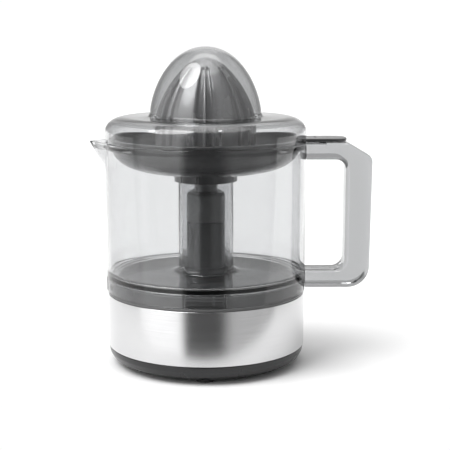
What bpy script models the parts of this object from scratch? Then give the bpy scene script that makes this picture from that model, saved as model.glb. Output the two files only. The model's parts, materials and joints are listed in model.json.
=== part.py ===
"""Citrus press juicer: a clear jug with a moulded-on handle stands on a round motor base.

The base's tower rises through the jug's centre tube and turns a ribbed cone above a sieve bowl,
under a clear dust cover. Pressing the cone lowers the drive shaft onto a spring and a switch.

Frame: metres, +Z up, origin on the ground below the centre of the base, spout at -X, handle at +X,
front at -Y.
"""

import math

import bmesh
import bpy
from mathutils import Matrix, Vector

MM = 0.001

# ---- Driving dimensions ------------------------------------------------------------------------

GAP = 0.3 * MM  # play between pieces that touch
RUNNING_GAP = 0.05 * MM  # radial play of a shaft in its bush

# Base
BODY_RADIUS = 77.5 * MM
BAND_THICKNESS = 0.8 * MM
BAND_BOTTOM = 15.0 * MM
BAND_HEIGHT = 41.4 * MM
HOUSING_WALL = 2.2 * MM
DECK_THICKNESS = 2.5 * MM
DECK_LIP = 1.8 * MM
COLLAR_HEIGHT = 8.5 * MM
COLLAR_WALL = 2.5 * MM
BOSS_HEIGHT = 17.5 * MM
TOWER_RADIUS = 15.4 * MM
TOWER_WALL = 2.0 * MM
TOWER_SEAM_HEIGHT = 53.0 * MM  # above the deck
TOWER_SHOULDER_HEIGHT = 69.5 * MM  # above the deck
NECK_RADIUS = 9.2 * MM
NECK_TOP_HEIGHT = 110.5 * MM  # above the deck
PLATE_CLEARANCE = 3.2 * MM
PLATE_WALL = 2.5 * MM
FOOT_RADIUS = 7.5 * MM
FOOT_COUNT = 4
FOOT_CIRCLE = 60.0 * MM
LUG_COUNT = 4
LUG_WIDTH = 28.0 * MM
LUG_HEIGHT = 4.3 * MM
LUG_DEPTH = 2.2 * MM

# Jug
JUG_RADIUS = 78.2 * MM
JUG_WALL = 2.3 * MM
JUG_RIM_HEIGHT = 116.0 * MM  # from the skirt's lower edge to the rim
JUG_RIM_WIDTH = 4.4 * MM
JUG_SKIRT = 10.7 * MM  # from the skirt's lower edge to the floor's underside
JUG_FLOOR = 2.5 * MM
TUBE_WALL = 2.2 * MM
TUBE_GAP = 0.7 * MM  # between the base's boss and the tube around it
TUBE_HEIGHT = 78.5 * MM  # above the floor's underside
FLOOR_CORNER = 1.5 * MM
TUBE_ROOT = 5.0 * MM
SPOUT_REACH = 12.5 * MM
SPOUT_DROP = 23.0 * MM
SPOUT_HALF_WIDTH = 22.0 * MM
HANDLE_REACH = 51.0 * MM
HANDLE_WIDTH = 26.0 * MM
HANDLE_BAR = 20.8 * MM
UPPER_ARM = 13.4 * MM
LOWER_ARM = 14.0 * MM
HANDLE_EDGE = 3.5 * MM

# Strainer
FLANGE_THICKNESS = 2.4 * MM
FLANGE_SEAT = 1.4 * MM  # how far the flange overlaps the jug's rim
BOWL_WALL = 2.0 * MM
BOWL_DEPTH = 24.8 * MM
HUB_WALL = 2.2 * MM
HUB_GAP = 1.0 * MM
HUB_HEIGHT = 22.0 * MM
CLIP_RING_HEIGHT = 6.8 * MM
CLIP_RING_WALL = 2.0 * MM
CLIP_RING_BAND = 1.5 * MM  # left whole above the splits
SIEVE_SLOTS = 18
SLOT_WIDTH = 2.2 * MM
SLOT_INNER = 30.0 * MM
SLOT_OUTER = 52.0 * MM
TAB_REACH = 32.0 * MM
TAB_HALF_WIDTH = 14.0 * MM
TAB_KEY_LENGTH = 14.0 * MM
TAB_KEY_WIDTH = 14.0 * MM
TAB_KEY_HEIGHT = 3.0 * MM

# Cones
CONE_SKIRT_RADIUS = 39.8 * MM
CONE_DOME_RADIUS = 39.2 * MM
CONE_SKIRT_TOP = 34.5 * MM  # above the skirt's lower edge
CONE_HEIGHT = 80.9 * MM
CONE_WALL = 2.2 * MM
CONE_FLUTES = 8
FLUTE_DEPTH = 3.4 * MM
FLUTE_SHARE = 0.5  # a groove's share of its pitch on the large cone
SMALL_FLUTE_SHARE = 0.6  # and on the small cone
FLUTE_TURN = 22.5  # degrees, which puts a groove of both cones at the front
SMALL_CONE_RADIUS = 25.0 * MM
SMALL_CONE_HEIGHT = 58.0 * MM
SMALL_CONE_RIB = 3.0 * MM
KEY_RIB_WIDTH = 2.4 * MM
PRESS_TRAVEL = 2.0 * MM

# Dust cover
COVER_WALL = 2.0 * MM
COVER_SIDE = 7.0 * MM
COVER_SHOULDER = 11.8 * MM
COVER_FLAT_RADIUS = 64.5 * MM
DOME_RADIUS = 43.4 * MM
DOME_HEIGHT = 53.4 * MM

# Drive train
SHAFT_RADIUS = 4.0 * MM
HEX_RADIUS = 7.6 * MM
HEAD_LENGTH = 20.0 * MM
MODULE = 1.0 * MM
PINION_TEETH = 12
IDLER_TEETH = 36
STAGE2_MODULE = 1.25 * MM
IDLER_PINION_TEETH = 14
OUTPUT_TEETH = 42
BACKLASH = 0.28 * MM
IDLER_BEARING = 150.0  # degrees round from +X, seen from above
MOTOR_OFFSET = 44.0 * MM
MOTOR_RADIUS = 24.0 * MM
MOTOR_HEIGHT = 22.0 * MM
MOTOR_WALL = 1.2 * MM
ROTOR_RADIUS = 12.0 * MM
ROTOR_HEIGHT = 14.0 * MM
MOTOR_SHAFT_RADIUS = 2.0 * MM
AXLE_RADIUS = 2.0 * MM
GEAR_PLATE_THICKNESS = 2.0 * MM
SCREW_RADIUS = 1.5 * MM
SCREW_HEAD_RADIUS = 3.2 * MM
SCREW_HEAD_HEIGHT = 2.0 * MM
SPRING_RADIUS = 5.0 * MM
SPRING_WIRE = 0.9 * MM
SPRING_TURNS = 5
SWITCH_LENGTH = 20.0 * MM
SWITCH_WIDTH = 6.4 * MM
SWITCH_HEIGHT = 8.0 * MM
LEVER_ARM = 20.0 * MM
LEVER_THICKNESS = 0.6 * MM
GROMMET_RADIUS = 5.5 * MM
CORD_HOLE_RADIUS = 3.3 * MM

# ---- Heights and radii that follow from them ---------------------------------------------------

AXIS_X = (SPOUT_REACH - HANDLE_REACH) / 2  # the base's axis, so that X = 0 is midway along
BAND_TOP = BAND_BOTTOM + BAND_HEIGHT
CORD_HEIGHT = BAND_BOTTOM + 9.0 * MM
DECK_TOP = BAND_TOP + GAP + DECK_LIP
DECK_UNDER = DECK_TOP - DECK_THICKNESS
HOUSING_RADIUS = BODY_RADIUS - BAND_THICKNESS - GAP
HOUSING_INNER = HOUSING_RADIUS - HOUSING_WALL
PLATE_TOP = BAND_BOTTOM - GAP
PLATE_FLOOR = PLATE_CLEARANCE + PLATE_WALL

JUG_INNER = JUG_RADIUS - JUG_WALL
JUG_BOTTOM = DECK_TOP + GAP
JUG_RIM = JUG_BOTTOM + JUG_RIM_HEIGHT
JUG_FLOOR_UNDER = JUG_BOTTOM + JUG_SKIRT
JUG_FLOOR_TOP = JUG_FLOOR_UNDER + JUG_FLOOR
COLLAR_RADIUS = JUG_INNER - LUG_DEPTH - 3 * GAP
BOSS_RADIUS = TOWER_RADIUS + 3.2 * MM
BOSS_TOP = DECK_TOP + BOSS_HEIGHT
TUBE_INNER = BOSS_RADIUS + TUBE_GAP
TUBE_OUTER = TUBE_INNER + TUBE_WALL
TUBE_TOP = JUG_FLOOR_UNDER + TUBE_HEIGHT

TOWER_SEAM = DECK_TOP + TOWER_SEAM_HEIGHT
TOWER_SHOULDER = DECK_TOP + TOWER_SHOULDER_HEIGHT
NECK_TOP = DECK_TOP + NECK_TOP_HEIGHT
NECK_BORE = SHAFT_RADIUS + 2.6 * MM
BUSH_RADIUS = NECK_BORE - GAP
BUSH_LENGTH = 8.0 * MM
LOWER_BUSH_RADIUS = 7.0 * MM

RIM_INNER = JUG_RADIUS - JUG_RIM_WIDTH
FLANGE_RADIUS = RIM_INNER + FLANGE_SEAT
FLANGE_UNDER = JUG_RIM + GAP
FLANGE_TOP = FLANGE_UNDER + FLANGE_THICKNESS
BOWL_RADIUS = RIM_INNER - 2 * GAP
BOWL_BOTTOM = FLANGE_UNDER - BOWL_DEPTH
BOWL_FLOOR = BOWL_BOTTOM + BOWL_WALL
HUB_INNER = NECK_RADIUS + HUB_GAP
HUB_OUTER = HUB_INNER + HUB_WALL
HUB_TOP = BOWL_BOTTOM + HUB_HEIGHT
CLIP_RING_INNER = TUBE_OUTER + 1.2 * MM
CLIP_RING_OUTER = CLIP_RING_INNER + CLIP_RING_WALL

HEAD_BOTTOM = NECK_TOP + PRESS_TRAVEL + 2 * GAP
HEAD_TOP = HEAD_BOTTOM + HEAD_LENGTH
CONE_BOTTOM = BOWL_FLOOR + PRESS_TRAVEL + 3.3 * MM
CONE_TOP = CONE_BOTTOM + CONE_HEIGHT
SMALL_CONE_BOTTOM = BOWL_FLOOR + PRESS_TRAVEL + 4.0 * MM
SMALL_CONE_TOP = SMALL_CONE_BOTTOM + SMALL_CONE_HEIGHT
SMALL_CONE_SKIRT_BORE = HUB_OUTER + 1.4 * MM
SOCKET_ROOM = 4.0 * MM

COVER_BOTTOM = JUG_RIM + GAP
COVER_FLAT = COVER_BOTTOM + COVER_SIDE + COVER_SHOULDER

STAGE1_DISTANCE = MODULE * (PINION_TEETH + IDLER_TEETH) / 2
STAGE2_DISTANCE = STAGE2_MODULE * (IDLER_PINION_TEETH + OUTPUT_TEETH) / 2
GEAR_FACE = 5.0 * MM
OUTPUT_GEAR_TOP = DECK_UNDER - 2.2 * MM
OUTPUT_GEAR_BOTTOM = OUTPUT_GEAR_TOP - GEAR_FACE
IDLER_PINION_TOP = OUTPUT_GEAR_TOP + 0.6 * MM
IDLER_PINION_BOTTOM = OUTPUT_GEAR_BOTTOM - PRESS_TRAVEL - 0.8 * MM
IDLER_GEAR_BOTTOM = IDLER_PINION_BOTTOM - 4.0 * MM
GEAR_PLATE_TOP = IDLER_GEAR_BOTTOM - 1.0 * MM
GEAR_PLATE_UNDER = GEAR_PLATE_TOP - GEAR_PLATE_THICKNESS
MOTOR_TOP = GEAR_PLATE_UNDER - GAP
MOTOR_BOTTOM = MOTOR_TOP - MOTOR_HEIGHT
SHAFT_BOTTOM = GEAR_PLATE_UNDER - 3.0 * MM
PLUNGER_TOP = SHAFT_BOTTOM - GAP
PLUNGER_FLANGE_UNDER = PLUNGER_TOP - 3.0 * MM
PLUNGER_BOTTOM = PLATE_FLOOR + PRESS_TRAVEL + 3.0 * MM

LARGE_SIDES, MEDIUM_SIDES, SMALL_SIDES = 40, 24, 14


# ---- Tools -------------------------------------------------------------------------------------


def clear_scene():
    for obj in list(bpy.data.objects):
        bpy.data.objects.remove(obj, do_unlink=True)


def material(name, colour, roughness, metallic=0.0, alpha=1.0):
    made = bpy.data.materials.new(name)
    made.use_nodes = True
    shader = made.node_tree.nodes["Principled BSDF"]
    shader.inputs["Base Color"].default_value = (*colour, 1.0)
    shader.inputs["Roughness"].default_value = roughness
    shader.inputs["Metallic"].default_value = metallic
    shader.inputs["Alpha"].default_value = alpha
    return made


def node(name, mesh_data, finish):
    """A mesh of the object, as a named object with its material, shaded smooth up to 35 degrees."""
    mesh = bpy.data.meshes.new(name)
    mesh_data.to_mesh(mesh)
    mesh_data.free()
    mesh.shade_smooth()
    mesh.set_sharp_from_angle(angle=math.radians(35))
    obj = bpy.data.objects.new(name, mesh)
    bpy.context.scene.collection.objects.link(obj)
    obj.data.materials.append(finish)
    return obj


def helper(obj):
    """A cutter or an added shape, which isn't a piece of its own."""
    obj.hide_render = True
    obj.display_type = "WIRE"
    return obj


def combine(obj, other, operation):
    """Cuts other from obj, or unites it with obj."""
    modifier = obj.modifiers.new(f"{operation}_{other.name}", "BOOLEAN")
    modifier.operation = operation
    modifier.object = helper(other)
    modifier.solver = "EXACT"
    modifier.use_self = True
    return obj


def turned(profile, sides):
    """A solid of revolution about Z. The profile is a closed run of (radius, height) points."""
    bm = bmesh.new()
    rings = []
    for radius, height in profile:
        count = sides if radius > 1e-7 else 1
        step = math.tau / sides
        rings.append(
            [
                bm.verts.new((radius * math.cos(i * step), radius * math.sin(i * step), height))
                for i in range(count)
            ]
        )
    for i, low in enumerate(rings):
        high = rings[(i + 1) % len(rings)]
        for k in range(sides):
            j = (k + 1) % sides
            corners = [low[k % len(low)], low[j % len(low)], high[j % len(high)], high[k % len(high)]]
            corners = [v for n, v in enumerate(corners) if v is not corners[n - 1]]
            if len(corners) > 2:
                bm.faces.new(corners)
    bmesh.ops.recalc_face_normals(bm, faces=bm.faces)
    return bm


def prism(outline, low, high):
    """A flat outline in XY, raised from low to high."""
    bm = bmesh.new()
    face = bm.faces.new([bm.verts.new((x, y, low)) for x, y in outline])
    grown = bmesh.ops.extrude_face_region(bm, geom=[face])
    top = [v for v in grown["geom"] if isinstance(v, bmesh.types.BMVert)]
    bmesh.ops.translate(bm, verts=top, vec=(0, 0, high - low))
    bmesh.ops.recalc_face_normals(bm, faces=bm.faces)
    return bm


def circle(radius, sides, centre=(0.0, 0.0), start=0.0):
    step = math.tau / sides
    return [
        (
            centre[0] + radius * math.cos(start + i * step),
            centre[1] + radius * math.sin(start + i * step),
        )
        for i in range(sides)
    ]


def disc(radius, low, high, sides, centre=(0.0, 0.0), start=0.0):
    return prism(circle(radius, sides, centre, start), low, high)


def block(low, high):
    """A box between two corners."""
    bm = bmesh.new()
    size = Vector(high) - Vector(low)
    bmesh.ops.create_cube(bm, size=1.0)
    bmesh.ops.scale(bm, vec=size, verts=bm.verts)
    bmesh.ops.translate(bm, vec=(Vector(high) + Vector(low)) / 2, verts=bm.verts)
    return bm


def sector(inner, outer, low, high, half_angle):
    """Part of a ring, half_angle degrees either side of +X."""
    steps = 4
    bearings = [half_angle * (2 * i / steps - 1) for i in range(steps + 1)]
    outline = [polar(outer, d) for d in bearings] + [polar(inner, d) for d in reversed(bearings)]
    return prism(outline, low, high)


def turn(bm, degrees):
    """Turns a shape about Z."""
    bmesh.ops.rotate(
        bm, verts=bm.verts, cent=(0, 0, 0), matrix=Matrix.Rotation(math.radians(degrees), 3, "Z")
    )
    return bm


def merged(shapes):
    """Several separate shapes as one mesh, for use as one cutter or one set of added shapes."""
    whole = bmesh.new()
    for shape in shapes:
        part = bpy.data.meshes.new("part")
        shape.to_mesh(part)
        shape.free()
        whole.from_mesh(part)
        bpy.data.meshes.remove(part)
    return whole


def hull(points):
    """The smallest convex solid around the points."""
    bm = bmesh.new()
    for point in points:
        bm.verts.new(point)
    found = bmesh.ops.convex_hull(bm, input=bm.verts)
    unused = [v for v in found["geom_unused"] if isinstance(v, bmesh.types.BMVert)]
    bmesh.ops.delete(bm, geom=unused, context="VERTS")
    bmesh.ops.recalc_face_normals(bm, faces=bm.faces)
    return bm


def bezier(points, steps):
    """Points along a cubic curve, both ends included."""
    found = []
    for i in range(steps + 1):
        t = i / steps
        weights = ((1 - t) ** 3, 3 * t * (1 - t) ** 2, 3 * t * t * (1 - t), t**3)
        found.append(tuple(sum(w * p[k] for w, p in zip(weights, points)) for k in (0, 1)))
    return found


def arc(centre, radius, first, last, steps):
    """Points along an arc in (radius, height), angles in degrees, both ends included."""
    found = []
    for i in range(steps + 1):
        angle = math.radians(first + (last - first) * i / steps)
        found.append(
            (centre[0] + radius * math.cos(angle), centre[1] + radius * math.sin(angle))
        )
    return found


def polar(distance, degrees):
    angle = math.radians(degrees)
    return (distance * math.cos(angle), distance * math.sin(angle))


# ---- Places of the motor and the idler gear ----------------------------------------------------

IDLER_CENTRE = polar(STAGE2_DISTANCE, IDLER_BEARING)
MOTOR_SWING = math.degrees(
    math.acos(
        (MOTOR_OFFSET**2 + STAGE2_DISTANCE**2 - STAGE1_DISTANCE**2)
        / (2 * MOTOR_OFFSET * STAGE2_DISTANCE)
    )
)
MOTOR_BEARING = IDLER_BEARING + MOTOR_SWING
MOTOR_CENTRE = polar(MOTOR_OFFSET, MOTOR_BEARING)
PLATE_SCREW_BEARINGS = (45.0, 135.0, 225.0, 315.0)
PLATE_SCREW_CIRCLE = HOUSING_INNER - 5.0 * MM
GEAR_POSTS = (polar(33.0 * MM, 75.0), polar(33.0 * MM, 255.0), polar(62.0 * MM, IDLER_BEARING))
POST_RADIUS = 4.0 * MM


# ---- Base --------------------------------------------------------------------------------------


def bottom_plate(finish):
    """Black tray that closes the base from below and curves in towards the ground."""
    outer = [
        (0, PLATE_CLEARANCE),
        (BODY_RADIUS - 11 * MM, PLATE_CLEARANCE),
        (BODY_RADIUS - 5.5 * MM, PLATE_CLEARANCE + 1.3 * MM),
        (BODY_RADIUS - 2.0 * MM, PLATE_CLEARANCE + 4.2 * MM),
        (BODY_RADIUS - 0.5 * MM, PLATE_CLEARANCE + 8.0 * MM),
        (BODY_RADIUS - 0.2 * MM, PLATE_TOP),
    ]
    inner = [
        (HOUSING_INNER, PLATE_TOP),
        (HOUSING_INNER, PLATE_FLOOR + 4.0 * MM),
        (HOUSING_INNER - 6 * MM, PLATE_FLOOR),
        (0, PLATE_FLOOR),
    ]
    plate = node("bottom_plate", turned(outer + inner, LARGE_SIDES), finish)
    seat_high = PLATE_FLOOR + 3.4 * MM
    seats = []
    wells = []
    for bearing in PLATE_SCREW_BEARINGS:
        at = polar(PLATE_SCREW_CIRCLE, bearing)
        seats.append(disc(5.0 * MM, PLATE_CLEARANCE + 1 * MM, seat_high, SMALL_SIDES, at))
        wells.append(
            disc(
                SCREW_HEAD_RADIUS + GAP,
                PLATE_CLEARANCE - 1 * MM,
                PLATE_FLOOR + 0.8 * MM,
                SMALL_SIDES,
                at,
            )
        )
        wells.append(disc(SCREW_RADIUS + GAP, PLATE_CLEARANCE, seat_high + 1 * MM, 16, at))
    for bearing in foot_bearings():
        at = polar(FOOT_CIRCLE, bearing)
        wells.append(
            disc(
                FOOT_RADIUS + GAP, 0, PLATE_CLEARANCE + 1.0 * MM, SMALL_SIDES, at
            )
        )
    spring_seat = disc(
        SPRING_RADIUS - SPRING_WIRE - GAP, PLATE_FLOOR - 1 * MM, PLATE_FLOOR + 1.5 * MM, SMALL_SIDES
    )
    seats.append(spring_seat)
    vents = [
        turn(
            block(
                (26 * MM, (k - 1.5) * 6 * MM - 1.2 * MM, 0),
                (44 * MM, (k - 1.5) * 6 * MM + 1.2 * MM, PLATE_FLOOR + 1 * MM),
            ),
            MOTOR_BEARING + 180,
        )
        for k in range(4)
    ]
    combine(plate, node("plate_seats", merged(seats), finish), "UNION")
    combine(plate, node("plate_wells", merged(wells + vents), finish), "DIFFERENCE")
    return plate


def foot_bearings():
    return [270.0 + i * 360.0 / FOOT_COUNT for i in range(FOOT_COUNT)]


def feet(finish):
    """Soft pads that the base stands on, each pushed into a shallow well."""
    profile = [
        (0, 0),
        (FOOT_RADIUS - 1.2 * MM, 0),
        (FOOT_RADIUS, 1.2 * MM),
        (FOOT_RADIUS, PLATE_CLEARANCE + 0.7 * MM),
        (0, PLATE_CLEARANCE + 0.7 * MM),
    ]
    for i, bearing in enumerate(foot_bearings()):
        foot = node(f"foot_{i + 1}", turned(profile, SMALL_SIDES), finish)
        foot.location = (*polar(FOOT_CIRCLE, bearing), 0)


def screw(name, at, head_under, length, finish, upward=True):
    """Pan-head screw with a cross recess. Its thread runs up from the head, or down."""
    way = 1 if upward else -1
    profile = [
        (0, -SCREW_HEAD_HEIGHT),
        (SCREW_HEAD_RADIUS * 0.7, -SCREW_HEAD_HEIGHT),
        (SCREW_HEAD_RADIUS, -SCREW_HEAD_HEIGHT * 0.4),
        (SCREW_HEAD_RADIUS, 0),
        (SCREW_RADIUS, 0),
        (SCREW_RADIUS, length),
        (0, length),
    ]
    made = node(name, turned([(r, way * z) for r, z in profile], 10), finish)
    made.location = (*at, head_under)
    long, short = SCREW_HEAD_RADIUS * 0.6, 0.4 * MM
    corner = [(long, -short), (long, short), (short, short)]
    cross = [Matrix.Rotation(i * math.pi / 2, 2) @ Vector(at) for i in range(4) for at in corner]
    ends = sorted((way * -SCREW_HEAD_HEIGHT * 1.5, way * -SCREW_HEAD_HEIGHT * 0.5))
    recess = node(f"{name}_recess", prism(cross, *ends), finish)
    recess.location = made.location
    return combine(made, recess, "DIFFERENCE")


def steel_band(finish):
    """Brushed steel sleeve round the base."""
    profile = [
        (BODY_RADIUS, BAND_BOTTOM),
        (BODY_RADIUS, BAND_TOP),
        (BODY_RADIUS - BAND_THICKNESS, BAND_TOP),
        (BODY_RADIUS - BAND_THICKNESS, BAND_BOTTOM),
    ]
    return node("steel_band", turned(profile, LARGE_SIDES), finish)


def base_housing(finish):
    """Black moulding: side wall, deck, collar for the jug, boss, and the lower half of the tower."""
    wall_bottom = BAND_BOTTOM
    profile = [
        (HOUSING_RADIUS, wall_bottom),
        (HOUSING_RADIUS, BAND_TOP + GAP),
        (BODY_RADIUS, BAND_TOP + GAP),
        (BODY_RADIUS, DECK_TOP),
        (COLLAR_RADIUS, DECK_TOP),
        (COLLAR_RADIUS, DECK_TOP + COLLAR_HEIGHT - 0.6 * MM),
        (COLLAR_RADIUS - 0.6 * MM, DECK_TOP + COLLAR_HEIGHT),
        (COLLAR_RADIUS - COLLAR_WALL, DECK_TOP + COLLAR_HEIGHT),
        (COLLAR_RADIUS - COLLAR_WALL, DECK_TOP),
        (BOSS_RADIUS + 1.5 * MM, DECK_TOP),
        (BOSS_RADIUS, DECK_TOP + 1.5 * MM),
        (BOSS_RADIUS, BOSS_TOP - 1.2 * MM),
        (BOSS_RADIUS - 1.2 * MM, BOSS_TOP),
        (TOWER_RADIUS, BOSS_TOP),
        (TOWER_RADIUS, TOWER_SEAM),
        (TOWER_RADIUS - TOWER_WALL, TOWER_SEAM),
        (TOWER_RADIUS - TOWER_WALL, DECK_UNDER),
        (HOUSING_INNER, DECK_UNDER),
        (HOUSING_INNER, wall_bottom),
    ]
    housing = node("base_housing", turned(profile, LARGE_SIDES), finish)
    added = []
    bores = []
    for i in range(LUG_COUNT):
        half = math.degrees(math.asin(LUG_WIDTH / 2 / COLLAR_RADIUS))
        low = DECK_TOP + 2.0 * MM
        lug = sector(COLLAR_RADIUS - 1.5 * MM, COLLAR_RADIUS + LUG_DEPTH, low, low + LUG_HEIGHT, half)
        added.append(turn(lug, 270 + i * 360 / LUG_COUNT))
    post_bottom = PLATE_FLOOR + 3.4 * MM + GAP
    for bearing in PLATE_SCREW_BEARINGS:
        at = polar(PLATE_SCREW_CIRCLE, bearing)
        added.append(disc(POST_RADIUS, post_bottom, DECK_UNDER + 1 * MM, 16, at))
        bores.append(disc(SCREW_RADIUS + GAP, post_bottom - 1 * MM, post_bottom + 12 * MM, 12, at))
    for at in GEAR_POSTS:
        added.append(disc(POST_RADIUS, GEAR_PLATE_TOP + GAP, DECK_UNDER + 1 * MM, 16, at))
        bores.append(disc(SCREW_RADIUS + GAP, GEAR_PLATE_TOP - 1 * MM, GEAR_PLATE_TOP + 9 * MM, 12, at))
    cord_way = disc(GROMMET_RADIUS + GAP, -10 * MM, 10 * MM, SMALL_SIDES)
    bmesh.ops.rotate(
        cord_way, verts=cord_way.verts, cent=(0, 0, 0), matrix=Matrix.Rotation(math.pi / 2, 3, "X")
    )
    bmesh.ops.translate(cord_way, verts=cord_way.verts, vec=(0, HOUSING_RADIUS, CORD_HEIGHT))
    combine(housing, node("housing_added", merged(added), finish), "UNION")
    combine(housing, node("housing_bores", merged(bores + [cord_way]), finish), "DIFFERENCE")
    return housing


def band_cord_hole(band, finish):
    hole = disc(GROMMET_RADIUS + GAP, -6 * MM, 6 * MM, SMALL_SIDES)
    bmesh.ops.rotate(
        hole, verts=hole.verts, cent=(0, 0, 0), matrix=Matrix.Rotation(math.pi / 2, 3, "X")
    )
    bmesh.ops.translate(hole, verts=hole.verts, vec=(0, BODY_RADIUS, CORD_HEIGHT))
    return combine(band, node("band_cord_hole", hole, finish), "DIFFERENCE")


def cord_grommet(finish):
    """Rubber bush in the back wall where the mains lead goes in."""
    through = BODY_RADIUS - HOUSING_INNER - 0.6 * MM
    profile = [
        (CORD_HOLE_RADIUS, -2.0 * MM),
        (GROMMET_RADIUS + 1.6 * MM, -2.0 * MM),
        (GROMMET_RADIUS + 1.6 * MM, -0.6 * MM),
        (GROMMET_RADIUS, -0.6 * MM),
        (GROMMET_RADIUS, through),
        (GROMMET_RADIUS - 0.8 * MM, through + 0.8 * MM),
        (CORD_HOLE_RADIUS, through + 0.8 * MM),
    ]
    made = node("cord_grommet", turned(profile, SMALL_SIDES), finish)
    made.rotation_euler = (-math.pi / 2, 0, 0)
    made.location = (0, HOUSING_INNER - 0.2 * MM, CORD_HEIGHT)
    return made


def tower_cap(finish):
    """Upper half of the tower: straight wall, shoulder and the neck that carries the top bush."""
    inner = TOWER_RADIUS - TOWER_WALL
    spigot = inner - GAP
    shoulder = arc((TOWER_RADIUS - 6.2 * MM, TOWER_SHOULDER), 6.2 * MM, 0, 90, 4)
    inner_shoulder = arc((inner - 4.5 * MM, TOWER_SHOULDER), 4.5 * MM, 90, 0, 2)
    profile = [
        (spigot, TOWER_SEAM - 4.0 * MM),
        (spigot, TOWER_SEAM + GAP),
        (TOWER_RADIUS, TOWER_SEAM + GAP),
        *shoulder,
        (NECK_RADIUS, TOWER_SHOULDER + 6.2 * MM),
        (NECK_RADIUS, NECK_TOP - 0.8 * MM),
        (NECK_RADIUS - 0.8 * MM, NECK_TOP),
        (NECK_BORE, NECK_TOP),
        (NECK_BORE, NECK_TOP - BUSH_LENGTH - GAP),
        (NECK_BORE - 1.2 * MM, NECK_TOP - BUSH_LENGTH - GAP),
        (NECK_BORE - 1.2 * MM, TOWER_SHOULDER + 4.5 * MM),
        *inner_shoulder,
        (inner - 1.5 * MM, TOWER_SEAM + 1.5 * MM),
        (spigot - 1.5 * MM, TOWER_SEAM - 4.0 * MM),
    ]
    return node("tower_cap", turned(distinct(profile), MEDIUM_SIDES), finish)


def distinct(profile):
    """The profile without points that repeat the one before."""
    kept = []
    for point in profile:
        if not kept or math.dist(point, kept[-1]) > 1e-6:
            kept.append(point)
    return kept


# ---- Jug ---------------------------------------------------------------------------------------


def spout_shape(inset, top, inward):
    """Half-pyramid of the pouring lip. inset shrinks it, to cut its hollow."""
    tip = JUG_RADIUS + SPOUT_REACH - inset * 1.6
    half = SPOUT_HALF_WIDTH - inset
    back = math.sqrt(JUG_RADIUS**2 - half**2)
    nose = 2.0 * MM
    points = [(-back, half, top), (-back, -half, top), (-inward, half, top), (-inward, -half, top)]
    for degrees in (-60, -30, 0, 30, 60):
        dx, dy = polar(nose, degrees)
        points.append((-(tip - nose) - dx, dy, top))
    low = JUG_RIM - SPOUT_DROP + inset * 1.6
    points.append((-JUG_RADIUS + 0.4 * MM + inset, 0, low))
    points.append((-inward, 0, low))
    return hull(points)


def jug(finish):
    """Clear jug: the wall with its thick rim and the pouring lip."""
    profile = [
        (JUG_RADIUS, JUG_BOTTOM),
        (JUG_RADIUS, JUG_RIM),
        (RIM_INNER, JUG_RIM),
        (RIM_INNER, JUG_RIM - 2.0 * MM),
        (JUG_INNER, JUG_RIM - 5.0 * MM),
        (JUG_INNER, JUG_BOTTOM),
    ]
    body = node("jug", turned(profile, LARGE_SIDES), finish)
    combine(body, node("spout_outside", spout_shape(0, JUG_RIM, JUG_INNER - 4 * MM), finish), "UNION")
    hollow = spout_shape(1.9 * MM, JUG_RIM + 1 * MM, RIM_INNER - 8 * MM)
    combine(body, node("spout_hollow", hollow, finish), "DIFFERENCE")
    return body


def jug_floor(finish):
    """Clear insert in the jug's wall: raised floor, the tube round the tower, and ribs below."""
    edge = JUG_INNER - GAP
    wall_foot = arc(
        (edge - FLOOR_CORNER, JUG_FLOOR_TOP + FLOOR_CORNER), FLOOR_CORNER, 0, -90, 3
    )
    tube_foot = arc((TUBE_OUTER + TUBE_ROOT, JUG_FLOOR_TOP + TUBE_ROOT), TUBE_ROOT, 270, 180, 4)
    profile = [
        *wall_foot,
        *tube_foot,
        (TUBE_OUTER, TUBE_TOP),
        (TUBE_INNER, TUBE_TOP),
        (TUBE_INNER, JUG_FLOOR_UNDER),
        (edge, JUG_FLOOR_UNDER),
    ]
    body = node("jug_floor", turned(distinct(profile), LARGE_SIDES), finish)
    ribs = []
    for i in range(LUG_COUNT):
        for side in (-1, 1):
            near = side * (LUG_WIDTH / 2 + 0.6 * MM)
            far = near + side * 1.6 * MM
            rib = block(
                (COLLAR_RADIUS - 0.9 * MM, min(near, far), JUG_BOTTOM + 0.5 * MM),
                (edge - 2.1 * MM, max(near, far), JUG_FLOOR_UNDER + 0.5 * MM),
            )
            ribs.append(turn(rib, 270 + i * 360 / LUG_COUNT))
    combine(body, node("skirt_ribs", merged(ribs), finish), "UNION")
    return body


def handle_outline():
    """Side view of the handle, (x, z), from the jug's wall out and back."""
    wall = JUG_RADIUS + GAP
    out = JUG_RADIUS + HANDLE_REACH
    low_out = out - 1.3 * MM
    bar_in = out - HANDLE_BAR
    top = JUG_RIM - 0.5 * MM
    bottom = JUG_BOTTOM + 1.4 * MM
    upper_under = top - UPPER_ARM
    lower_top = bottom + LOWER_ARM
    return [
        (wall, top),
        (bar_in, top),
        (bar_in + 2.5 * MM, top - 0.8 * MM),
        (out - 4.6 * MM, top - 8.4 * MM),
        (out - 1.3 * MM, top - 12.0 * MM),
        (out, top - 17.0 * MM),
        *arc((low_out - 17 * MM, bottom + 17 * MM), 17 * MM, 0, -90, 5),
        (wall, bottom),
        (wall, lower_top),
        (bar_in - 9 * MM, lower_top),
        (bar_in - 3.5 * MM, lower_top + 1.5 * MM),
        (bar_in - 0.6 * MM, lower_top + 5.0 * MM),
        (bar_in, lower_top + 10 * MM),
        *arc((bar_in - 7.5 * MM, upper_under - 7.5 * MM), 7.5 * MM, 0, 90, 3),
        (wall, upper_under),
    ]


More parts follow.
